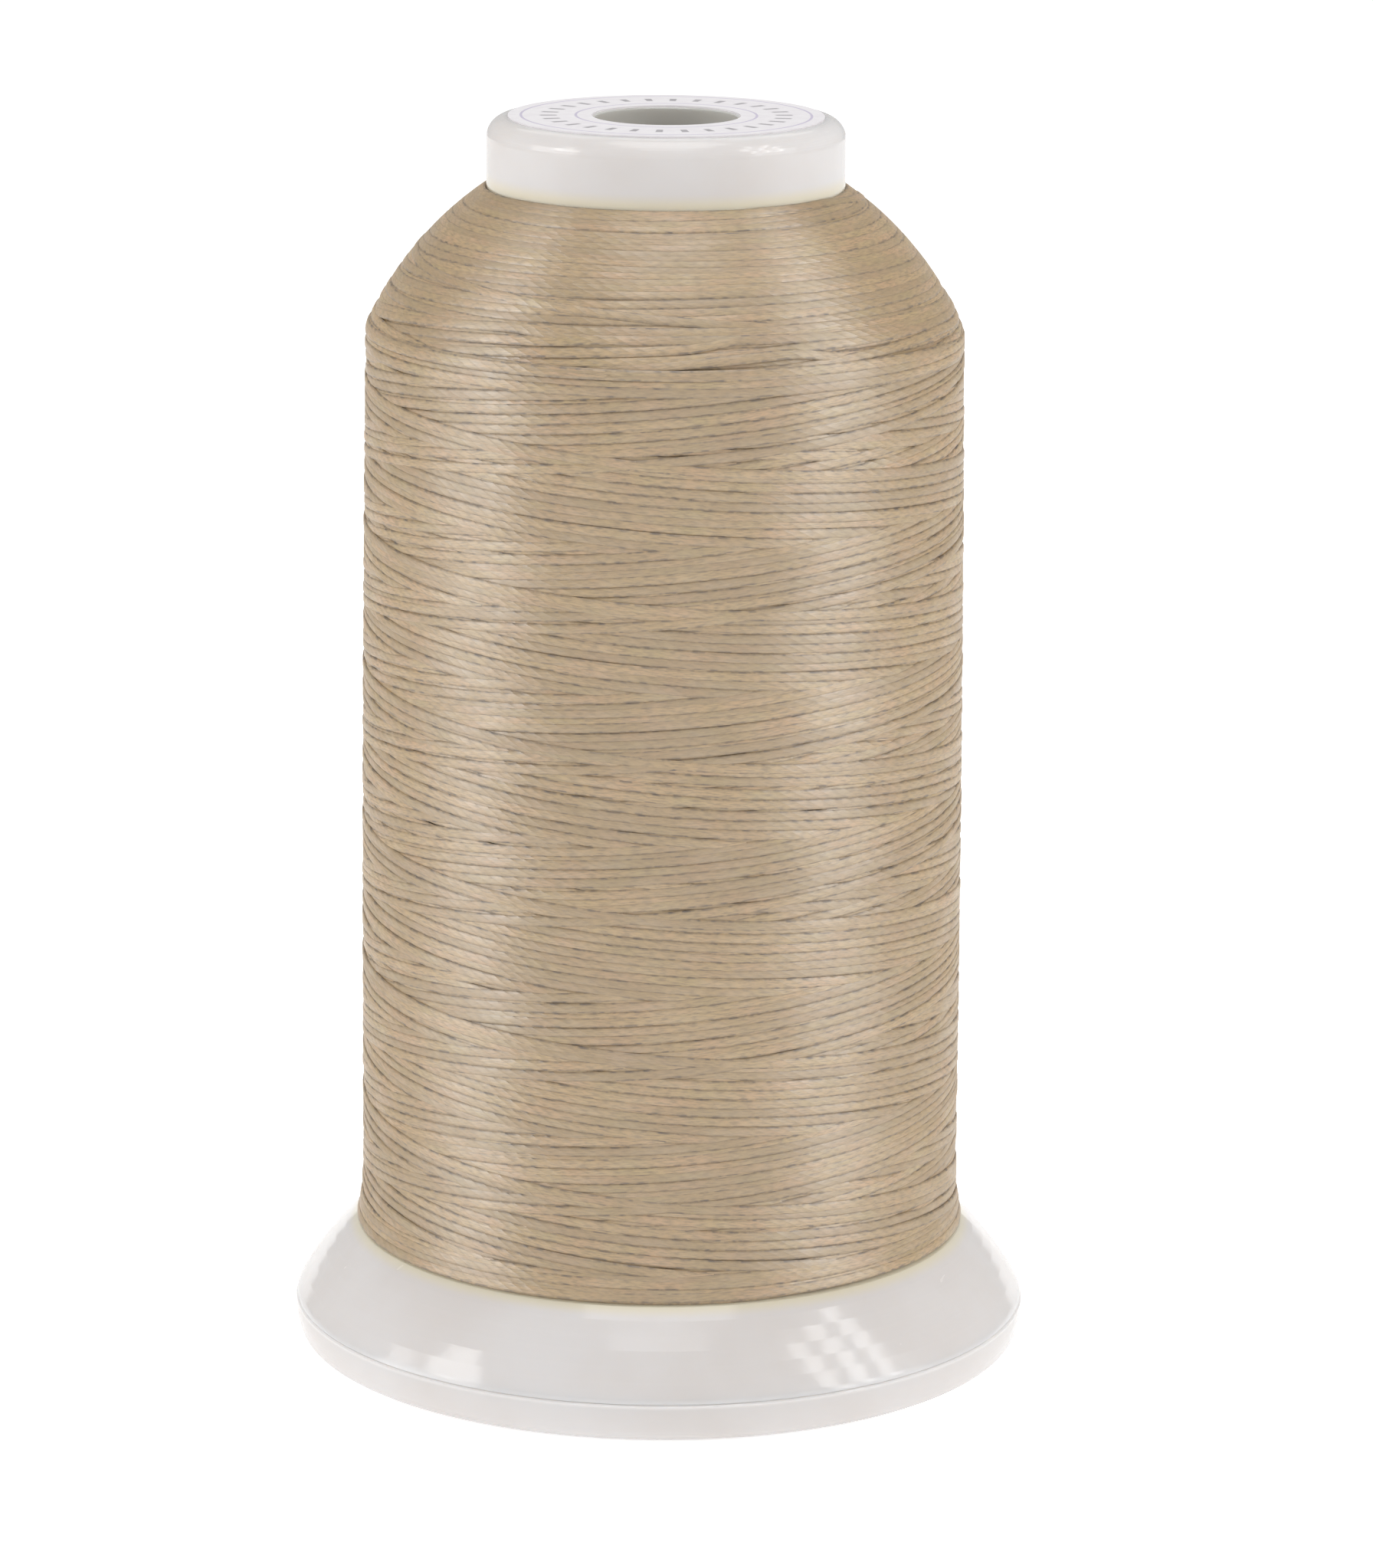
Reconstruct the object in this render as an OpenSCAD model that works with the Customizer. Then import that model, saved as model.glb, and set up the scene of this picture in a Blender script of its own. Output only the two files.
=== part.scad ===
// Thread spool with a pull-down base
//
// A hollow moulded barrel carries cross-wound thread between a collar at the top and a
// conical flange at the foot. Under the flange sits a separate base: it slides down on
// hooked fingers, opens a slot at the rim, and closes again on the thread's free end.
//
// Millimetres, +Z up. The origin is the centre of the foot, on the surface it stands on.

/* [Overall] */
// Height from the foot to the top of the cap
spool_h = 106.2; // [96:0.1:130]

/* [Base rim] */
// Widest diameter of the rim
rim_d = 63.5; // [61:0.1:70]
// How far the foot stands in from the rim's widest edge
foot_tuck = 1.45; // [1.3:0.05:2]
// Rounding between the rim's edge and the foot
foot_round = 1.2; // [0.8:0.05:1.2]
// Height of the seam between the base and the flange
seam_z = 3.35; // [3.2:0.05:3.6]
// Depth below the seam at which the rim is widest
belly_drop = 0.55; // [0.4:0.05:0.7]
// Width of the seam
seam_gap = 0.03; // [0.03:0.01:0.2]
// Bevel along the flange's edge at the seam
seam_bevel = 0.05; // [0.05:0.01:0.2]
// Bevel along the base's edge at the seam
rim_bevel = 0.15; // [0.1:0.05:0.35]
// Width of the rim's flat land inside the seam
rim_land = 2.8; // [2.4:0.1:3.4]
// Width of the foot ring
foot_ring_w = 2.6; // [2:0.1:3.5]
// Bevel along the foot ring's inner edge
foot_bevel = 0.3; // [0.1:0.1:0.6]

/* [Flange] */
// Radius of the rounding between the rim and the skirt
skirt_round = 2.2; // [1.6:0.1:2.8]
// Slope at which the rounding leads on to the skirt, measured from the vertical
skirt_angle = 30; // [27:1:34]
// Radius of the skirt's dome
skirt_dome_r = 26; // [24:1:40]
// Slope of the seat under the thread, measured from the horizontal
seat_angle = 25; // [18:1:30]
// Thickness of the flange
flange_t = 1.5; // [1.2:0.1:1.8]
// Number of gussets under the flange
gusset_count = 6; // [3:1:12]
// Thickness of a gusset
gusset_t = 1.2; // [0.8:0.1:1.6]

/* [Barrel] */
// Outside diameter of the barrel
barrel_d = 26; // [25.6:0.1:27]
// Bore of the barrel
bore_d = 23; // [22:0.1:23.4]
// Outside diameter of the collar round the snap groove
groove_collar_d = 28; // [27.6:0.1:30]

/* [Snap base] */
// How far the base pulls down
travel = 3; // [2:0.1:3.4]
// Running clearance between the hub and the bore, on the radius
run_clear = 0.08; // [0.03:0.01:0.1]
// Wall of the hub
hub_wall = 1.3; // [1:0.1:1.6]
// How much thinner the fingers are than the hub
finger_relief = 0.25; // [0.1:0.05:0.4]
// Height at which the hub thins down towards its fingers
finger_root_z = 5.5; // [5:0.1:6.5]
// Height of the fingers' tips
finger_top_z = 14.2; // [13.6:0.1:15]
// Number of fingers
finger_count = 6; // [4:1:8]
// Width of the slots between the fingers
slot_w = 2; // [1.2:0.1:2.6]
// How far a hook stands out from its finger
hook_out = 0.55; // [0.3:0.05:0.6]
// Height of a hook's outer land
hook_h = 1.2; // [0.8:0.1:1.6]
// Clearance round a hook in its groove
hook_clear = 0.15; // [0.1:0.05:0.25]
// Height of the underside of the base's web
web_z = 1.3; // [1:0.1:1.4]
// Thickness of the base's web
web_t = 1.4; // [1:0.1:1.5]
// Bevel in the corner between the web and the centring lip
web_bevel = 0.6; // [0.2:0.1:1]
// Width of the ring that stiffens the hub's mouth
mouth_ring_w = 1.6; // [1.2:0.1:2.4]
// How far the mouth ring and the ribs stay clear of the surface below
rib_lift = 0.4; // [0.2:0.1:0.6]
// Number of ribs under the web
rib_count = 12; // [6:1:24]
// Thickness of a rib
rib_t = 1.1; // [0.8:0.1:1.6]
// Height of the centring lip above the seam
lip_h = 1.9; // [1.4:0.1:2]
// Thickness of the centring lip
lip_t = 1.2; // [0.9:0.1:1.6]
// Clearance between the lip and the flange
lip_clear = 0.3; // [0.2:0.05:0.4]

/* [Cap] */
// Diameter of the cap
cap_d = 30.2; // [29.6:0.1:32]
// Height of the cap above the thread
cap_show = 5.4; // [4:0.1:8]
// Depth to which the cap's edge is tucked into the thread core
cap_tuck = 0.6; // [0.3:0.1:1.2]
// Rounding of the cap's top edge
cap_round = 1.7; // [1:0.1:2]
// Thickness of the cap's top plate
cap_plate = 1.8; // [1.4:0.1:2.4]
// Diameter of the spindle hole
spindle_hole_d = 12; // [8:0.1:14]
// Length of the guide sleeve below the cap's plate
sleeve_h = 4.2; // [2:0.1:8]
// Wall of the guide sleeve
sleeve_wall = 1.3; // [1:0.1:1.6]
// Bevel round the mouth of the spindle hole
hole_bevel = 0.1; // [0.05:0.05:0.5]

/* [Label] */
// Outside diameter of the label ring
label_d = 26.6; // [20:0.1:26.8]
// Hole in the label ring
label_hole_d = 12.5; // [12.3:0.1:16]
// Thickness of the label
label_t = 0.12; // [0.1:0.01:0.2]

/* [Thread] */
// Diameter of the thread
thread_d = 0.65; // [0.5:0.05:0.8]
// Diameter of the wound package at the flange
package_foot_d = 52.8; // [50:0.1:54]
// Diameter of the wound package where its shoulder starts
package_top_d = 51.2; // [48:0.1:53]
// Height of the package's shoulder
shoulder_h = 12; // [10:0.1:15]
// Rise of the shoulder's arc above its own chord
shoulder_bulge = 0.9; // [0.5:0.05:1.5]
// Loops of the outer winding on its way up, and again on its way down
loops_each_way = 12; // [6:1:12]
// Least room between a loop and the one that crosses it
crossing_room = 0.45; // [0.42:0.01:0.6]
// Rings on each side of a crossing over which a loop comes down from it
ride_rings = 3; // [3:0.5:5]
// Clearance between pieces that are seated on each other
seat_clear = 0.05; // [0.02:0.01:0.1]

/* [Hidden] */
$fn = 128;

plastic_colour = [0.90, 0.89, 0.89];
base_colour = [0.87, 0.86, 0.86];
label_colour = [0.96, 0.95, 0.96];
thread_colour = [0.76, 0.70, 0.60];
core_colour = [0.66, 0.59, 0.49];

// Steps along an arc of an outline, and along one that turns little
arc_steps = 12;
shallow_steps = 6;
// Bevel on free edges that a finger or a spindle meets
lead_bevel = 0.5;

rim_r = rim_d / 2;
foot_r = rim_r - foot_tuck;
barrel_r = barrel_d / 2;
bore_r = bore_d / 2;
cap_r = cap_d / 2;
spindle_hole_r = spindle_hole_d / 2;
land_in_r = rim_r - rim_land;
belly_z = seam_z - belly_drop;

// ---- Plane geometry -----------------------------------------------------------------

function unit(v) = v / norm(v);
function turned_right(v) = [v[1], -v[0]];
function along(angle) = [cos(angle), sin(angle)];
function arc(centre, r, from, to, steps = arc_steps) =
    [for (i = [0 : steps]) centre + r * along(from + (to - from) * i / steps)];
function beyond_first(points) = [for (i = [1 : len(points) - 1]) points[i]];
// Angle at which a circle about the centre reaches the given radius from the spool's axis
function angle_at_radius(centre, r, radius) = acos((radius - centre[0]) / r);

// ---- Rim, skirt and seat of the flange ----------------------------------------------

// Below its widest height the rim bows in a little, and a small rounding leads on to the
// foot. Above it the rim turns in to the domed skirt.
edge_drop = belly_z - foot_round;
edge_r = (pow(foot_tuck, 2) + pow(edge_drop, 2) - pow(foot_round, 2)) / (2 * (foot_tuck - foot_round));
edge_angle = asin(edge_drop / (edge_r - foot_round));
edge_centre = [rim_r - edge_r, belly_z];
skirt_arc_centre = [rim_r - skirt_round, belly_z];
flange_z = seam_z + seam_gap;

skirt_start = skirt_arc_centre + skirt_round * along(skirt_angle);
dome_centre = skirt_start - skirt_dome_r * along(skirt_angle);
package_foot_r = package_foot_d / 2;
dome_angle = angle_at_radius(dome_centre, skirt_dome_r, package_foot_r);
seat_start = dome_centre + skirt_dome_r * along(dome_angle);
function seat_z(r) = seat_start[1] + (seat_start[0] - r) * tan(seat_angle);

// The flange's underside, one wall inside the skirt, and then level with the seat
inner_dome_r = skirt_dome_r - flange_t;
inner_foot_angle = angle_at_radius(dome_centre, inner_dome_r, land_in_r);
inner_foot = dome_centre + inner_dome_r * along(inner_foot_angle);
inner_knee = dome_centre + inner_dome_r * along(dome_angle);
function seat_inner_z(r) = inner_knee[1] + (inner_knee[0] - r) * tan(seat_angle);

// ---- Hub, fingers and the groove that holds them ------------------------------------

web_top = web_z + web_t;
hub_r = bore_r - run_clear;
hub_in_r = hub_r - hub_wall;
finger_in_r = hub_in_r + finger_relief;
hook_r = hub_r + hook_out;
tip_r = hub_r - lead_bevel;
slot_foot_z = finger_root_z + 2 * lead_bevel;
hook_ramp_h = hook_out + lead_bevel;
hook_top_z = finger_top_z - hook_ramp_h;
hook_foot_z = hook_top_z - hook_h;
groove_r = hook_r + hook_clear;
groove_foot_z = hook_foot_z - travel - hook_clear;
groove_top_z = hook_top_z + hook_clear;
collar_r = groove_collar_d / 2;
collar_step = collar_r - barrel_r;
collar_foot_z = groove_foot_z - 2 * collar_step;
lip_r = land_in_r - lip_clear;
lip_in_r = lip_r - lip_t;
mouth_ring_r = hub_in_r + hub_wall + mouth_ring_w;

// ---- Outline of the thread package --------------------------------------------------

package_top_z = spool_h - cap_show;
shoulder_z = package_top_z - shoulder_h;
side_foot = seat_start;
side_top = [package_top_d / 2, shoulder_z];
shoulder_top = [cap_r, package_top_z];
side_dir = unit(side_top - side_foot);
side_out = turned_right(side_dir);

half_chord = norm(shoulder_top - side_top) / 2;
shoulder_arc_r = (pow(half_chord, 2) + pow(shoulder_bulge, 2)) / (2 * shoulder_bulge);
chord_out = turned_right(unit(shoulder_top - side_top));
shoulder_centre = (side_top + shoulder_top) / 2 - chord_out * (shoulder_arc_r - shoulder_bulge);

// A loop is a polygon of rings, so its chords dip towards the core by this much
rings_per_loop = 24;
tube_sides = 6;
thread_r = thread_d / 2;
function chord_dip(r) = r * (1 - cos(180 / rings_per_loop));
// The thread lies on the core on its way up. On its way down it lies on the core too, and
// rides over each loop that it crosses. The package's outline runs midway between the
// loops that lie on the core and those that ride.
on_core = thread_r + seat_clear;
ride_step = thread_d + crossing_room;
winding_depth = on_core + chord_dip(package_foot_r) + thread_r + ride_step / 2;

// The core lies inside the package's outline by the depth of the winding
core_arc_r = shoulder_arc_r - winding_depth;
core_line = side_foot - side_out * winding_depth;
from_centre = core_line - shoulder_centre;
centre_run = from_centre * side_dir;
core_side_l = sqrt(pow(centre_run, 2) - from_centre * from_centre + pow(core_arc_r, 2)) - centre_run;
core_corner = core_line + side_dir * core_side_l;
core_corner_angle = atan2(core_corner[1] - shoulder_centre[1], core_corner[0] - shoulder_centre[0]);
core_end_angle = angle_at_radius(shoulder_centre, core_arc_r, cap_r + seat_clear);
core_top = shoulder_centre + core_arc_r * along(core_end_angle);
core_foot_s = (seat_z(core_line[0]) + seat_clear - core_line[1]) / side_dir[1];
core_end_s = core_side_l + core_arc_r * (core_end_angle - core_corner_angle) * PI / 180;

cap_foot_z = core_top[1] - cap_tuck;
plate_z = spool_h - cap_plate;
sleeve_foot_z = plate_z - sleeve_h;
sleeve_r = spindle_hole_r + sleeve_wall;

// ---- Route of the outer winding -----------------------------------------------------

loops = 2 * loops_each_way;
ring_count = loops * rings_per_loop;
// Length along the core's outline at which the winding starts, and where it turns back
low_s = core_foot_s + thread_d;
high_s = core_end_s - thread_d;

// Angle on the shoulder's arc at a length along the outline
function shoulder_angle(s) = core_corner_angle + (s - core_side_l) / core_arc_r * 180 / PI;
function outline_point(s) =
    s < core_side_l ? core_line + side_dir * s
                    : shoulder_centre + core_arc_r * along(shoulder_angle(s));
function outline_out(s) = s < core_side_l ? side_out : along(shoulder_angle(s));

// Turns are counted from the foot. The thread climbs for the first half of them and comes
// back for the second, where it crosses its own way up twice in every turn.
function route_s(turn) = high_s - (high_s - low_s) * abs(turn - loops_each_way) / loops_each_way;
function rings_from_crossing(turn) = abs(2 * turn - round(2 * turn)) / 2 * rings_per_loop;
function riding(turn) =
    turn < loops_each_way + 0.25 ? 0
                                 : min(1, max(0, (ride_rings - rings_from_crossing(turn)) / 2));
function route_rise(turn, s) = on_core + chord_dip(outline_point(s)[0]) + ride_step * riding(turn);
function route_plane(turn) =
    let (s = route_s(turn))
    outline_point(s) + outline_out(s) * route_rise(turn, s);
function lifted(p, angle) = [p[0] * cos(angle), p[0] * sin(angle), p[1]];
function route_point(ring) =
    let (turn = ring / rings_per_loop)
    lifted(route_plane(turn), 360 * turn);
// Outward direction of the outline at a ring
function route_out(ring) =
    let (turn = ring / rings_per_loop)
    lifted(outline_out(route_s(turn)), 360 * turn);
function route_dir(ring) =
    unit(route_point(min(ring + 1, ring_count)) - route_point(max(ring - 1, 0)));

// Least distance between loops, on rings and half rings that share a meridian
function half_ring_plane(i) = route_plane(i / 2 / rings_per_loop);
route_planes = [for (i = [0 : 2 * ring_count]) half_ring_plane(i)];
rings_apart = 2 * rings_per_loop;
least_gap = min([
    for (i = [0 : 2 * ring_count - rings_apart])
        for (j = [i + rings_apart : rings_apart : 2 * ring_count])
            norm(route_planes[i] - route_planes[j])
]) - thread_d;
echo(str("Least gap of the winding to itself: ", least_gap, " mm"));

// ---- Sub-parts ----------------------------------------------------------------------

// Outline of the base, from the hub's mouth up the fingers and out to the foot
function base_outline() = concat(
    [
        [hub_in_r + lead_bevel, rib_lift],
        [hub_in_r, rib_lift + lead_bevel],
        [hub_in_r, finger_root_z],
        [finger_in_r, finger_root_z + finger_relief],
        [finger_in_r, finger_top_z],
        [tip_r, finger_top_z],
        [hook_r, hook_top_z],
        [hook_r, hook_foot_z],
        [hub_r, hook_foot_z],
        [hub_r, web_top],
        [lip_in_r - web_bevel, web_top],
        [lip_in_r, web_top + web_bevel],
        [lip_in_r, seam_z + lip_h],
        [lip_r - lip_clear, seam_z + lip_h],
        [lip_r, seam_z + lip_h - 2 * lip_clear],
        [lip_r, seam_z],
        [rim_r - rim_bevel, seam_z],
        [rim_r, seam_z - rim_bevel],
    ],
    arc(edge_centre, edge_r, 0, -edge_angle, shallow_steps),
    beyond_first(arc([foot_r, foot_round], foot_round, -edge_angle, -90)),
    [
        [foot_r - foot_ring_w + foot_bevel, 0],
        [foot_r - foot_ring_w, foot_bevel],
        [foot_r - foot_ring_w, web_z],
        [mouth_ring_r, web_z],
        [mouth_ring_r, rib_lift],
    ]
);

module snap_base() {
    color(base_colour) {
        difference() {
            rotate_extrude() polygon(base_outline());
            for (i = [0 : finger_count - 1]) {
                rotate(360 / finger_count * (i + 0.5))
                    translate([finger_in_r - 1, -slot_w / 2, slot_foot_z])
                        cube([hook_r - finger_in_r + 2, slot_w, finger_top_z]);
            }
        }
        for (i = [0 : rib_count - 1]) {
            rotate(360 / rib_count * (i + 0.5))
                translate([mouth_ring_r - mouth_ring_w / 2, -rib_t / 2, rib_lift])
                    cube([foot_r - foot_ring_w / 2 - mouth_ring_r + mouth_ring_w / 2, rib_t,
                          web_z + web_t / 2 - rib_lift]);
        }
    }
}

// Angle at which the skirt's rounding meets the flange's bevel, and the flange's radius there
rim_angle = asin((flange_z + seam_bevel - belly_z) / skirt_round);
flange_edge_r = skirt_arc_centre[0] + skirt_round * cos(rim_angle);

// Outline of the barrel, from the tube's lower end up its bore and back down outside
function barrel_outline() = concat(
    [
        [bore_r + lead_bevel, web_top],
        [bore_r, web_top + lead_bevel],
        [bore_r, groove_foot_z],
        [groove_r, groove_foot_z],
        [groove_r, groove_top_z],
        [bore_r, groove_top_z + groove_r - bore_r],
        [bore_r, plate_z],
        [barrel_r, plate_z],
        [barrel_r, seat_z(barrel_r)],
    ],
    arc(dome_centre, skirt_dome_r, dome_angle, skirt_angle, shallow_steps),
    beyond_first(arc(skirt_arc_centre, skirt_round, skirt_angle, rim_angle)),
    [
        [flange_edge_r - seam_bevel, flange_z],
        [land_in_r, flange_z],
    ],
    arc(dome_centre, inner_dome_r, inner_foot_angle, dome_angle, shallow_steps),
    [
        [collar_r, seat_inner_z(collar_r)],
        [collar_r, collar_foot_z + collar_step],
        [barrel_r, collar_foot_z],
        [barrel_r, web_top],
    ]
);

// Outline of a gusset between the tube and the flange's underside
function gusset_outline() = [
    [barrel_r - 0.5, collar_foot_z - 2 * collar_step],
    [land_in_r - rim_land, inner_foot[1] + flange_t],
    inner_knee + flange_t / 2 * along(seat_angle + 45),
    [barrel_r - 0.5, seat_inner_z(barrel_r - 0.5) + flange_t / 2],
];

module barrel() {
    color(plastic_colour) {
        rotate_extrude() polygon(barrel_outline());
        for (i = [0 : gusset_count - 1]) {
            rotate(360 / gusset_count * i)
                translate([0, gusset_t / 2, 0])
                    rotate([90, 0, 0])
                        linear_extrude(gusset_t) polygon(gusset_outline());
        }
    }
}

function cap_outline() = concat(
    [
        [spindle_hole_r, sleeve_foot_z],
        [spindle_hole_r, spool_h - hole_bevel],
        [spindle_hole_r + hole_bevel, spool_h],
    ],
    arc([cap_r - cap_round, spool_h - cap_round], cap_round, 90, 0),
    [
        [cap_r, cap_foot_z],
        [barrel_r + seat_clear + lead_bevel, cap_foot_z],
        [barrel_r + seat_clear, cap_foot_z + lead_bevel],
        [barrel_r + seat_clear, plate_z],
        [sleeve_r, plate_z],
        [sleeve_r, sleeve_foot_z],
    ]
);

module top_cap() {
    color(plastic_colour) rotate_extrude() polygon(cap_outline());
}

module label_ring() {
    color(label_colour)
        translate([0, 0, spool_h]) difference() {
            cylinder(h = label_t, d = label_d);
            translate([0, 0, -label_t]) cylinder(h = 3 * label_t, d = label_hole_d);
        }
}

function core_outline() = concat(
    [
        [barrel_r + seat_clear, cap_foot_z - seat_clear],
        [barrel_r + seat_clear, seat_z(barrel_r) + seat_clear],
        core_line + side_dir * core_foot_s,
    ],
    arc(shoulder_centre, core_arc_r, core_corner_angle, core_end_angle),
    [[cap_r + seat_clear, cap_foot_z - seat_clear]]
);

module thread_core() {
    color(core_colour) rotate_extrude() polygon(core_outline());
}

// Corner of the tube's section: k counts round the section
function tube_corner(ring, k) =
    let (dir = route_dir(ring))
    let (side = unit(cross(dir, route_out(ring))))
    let (out = cross(side, dir))
    let (angle = 360 / tube_sides * k)
    route_point(ring) + thread_r * (cos(angle) * out + sin(angle) * side);
function corner_index(ring, k) = ring * tube_sides + k % tube_sides;

module thread_winding() {
    points = [
        for (ring = [0 : ring_count])
            for (k = [0 : tube_sides - 1])
                tube_corner(ring, k)
    ];
    walls = [
        for (ring = [0 : ring_count - 1])
            for (k = [0 : tube_sides - 1])
                for (half = [0, 1])
                    half == 0
                        ? [corner_index(ring, k), corner_index(ring + 1, k), corner_index(ring, k + 1)]
                        : [corner_index(ring, k + 1), corner_index(ring + 1, k), corner_index(ring + 1, k + 1)]
    ];
    first_end = [for (k = [1 : tube_sides - 2]) [0, k, k + 1]];
    last_end = [
        for (k = [1 : tube_sides - 2])
            [corner_index(ring_count, 0), corner_index(ring_count, k + 1), corner_index(ring_count, k)]
    ];
    color(thread_colour) polyhedron(points, concat(walls, first_end, last_end));
}

snap_base();
barrel();
top_cap();
label_ring();
thread_core();
thread_winding();
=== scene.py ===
"""A cross-wound spool of waxed thread: moulded white plastic, a thin label ring and the thread package."""
import logging
import math
from dataclasses import dataclass, field
from enum import Enum

import bpy
import numpy as np
from mathutils import Matrix, Vector


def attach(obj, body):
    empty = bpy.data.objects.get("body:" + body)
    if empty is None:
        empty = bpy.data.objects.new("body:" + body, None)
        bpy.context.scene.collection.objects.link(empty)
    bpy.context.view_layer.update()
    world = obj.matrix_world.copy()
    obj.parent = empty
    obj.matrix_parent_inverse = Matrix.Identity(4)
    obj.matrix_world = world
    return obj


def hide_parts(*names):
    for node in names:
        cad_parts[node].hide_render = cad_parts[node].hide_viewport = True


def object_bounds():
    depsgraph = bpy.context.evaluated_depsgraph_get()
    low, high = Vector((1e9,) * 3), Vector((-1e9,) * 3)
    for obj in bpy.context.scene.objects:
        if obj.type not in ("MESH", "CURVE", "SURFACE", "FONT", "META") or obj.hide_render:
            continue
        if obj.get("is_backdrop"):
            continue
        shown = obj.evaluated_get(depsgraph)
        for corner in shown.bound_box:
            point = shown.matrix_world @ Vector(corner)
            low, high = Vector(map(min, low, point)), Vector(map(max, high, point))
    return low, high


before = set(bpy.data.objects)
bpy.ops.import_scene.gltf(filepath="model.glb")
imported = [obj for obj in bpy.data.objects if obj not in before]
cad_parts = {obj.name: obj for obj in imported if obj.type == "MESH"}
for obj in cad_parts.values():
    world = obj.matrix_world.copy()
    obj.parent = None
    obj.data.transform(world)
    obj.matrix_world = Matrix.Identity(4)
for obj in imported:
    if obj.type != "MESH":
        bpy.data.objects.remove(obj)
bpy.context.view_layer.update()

MM = 0.001
TURN = 2 * math.pi

Rgb = tuple[float, float, float]
Socket = bpy.types.NodeSocket
Feed = Socket | float | tuple[float, ...]
# A pair whose name ends in edge holds the two values between which a soft step runs.
Pair = tuple[float, float]

log = logging.getLogger("thread_spool")


class Body(Enum):
    """The moving bodies of the spool, by the names that the frame gives them."""

    SPOOL = "spool"
    BASE = "base"


class Slot(Enum):
    """The material slots of the spool's record."""

    SPOOL_PLASTIC = "spool_plastic"
    BASE_PLASTIC = "base_plastic"
    LABEL_PAPER = "label_paper"
    THREAD = "thread"


class Way(Enum):
    """The two ways of the thread guide along the package."""

    UP = 1
    DOWN = -1


class Twist(Enum):
    """Which way the plies of a thread turn round each other."""

    S = -1
    Z = 1


def screen(red: int, green: int, blue: int) -> Rgb:
    """Turns a screen colour into the linear colour that shaders take.

    Args:
        red: Red, from 0 to 255.
        green: Green, from 0 to 255.
        blue: Blue, from 0 to 255.

    Returns:
        The linear colour, from 0 to 1.
    """
    shares = (red / 255, green / 255, blue / 255)
    return tuple(s / 12.92 if s <= 0.04045 else ((s + 0.055) / 1.055) ** 2.4 for s in shares)


# ---- Wiring of node trees -------------------------------------------------------------------


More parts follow.
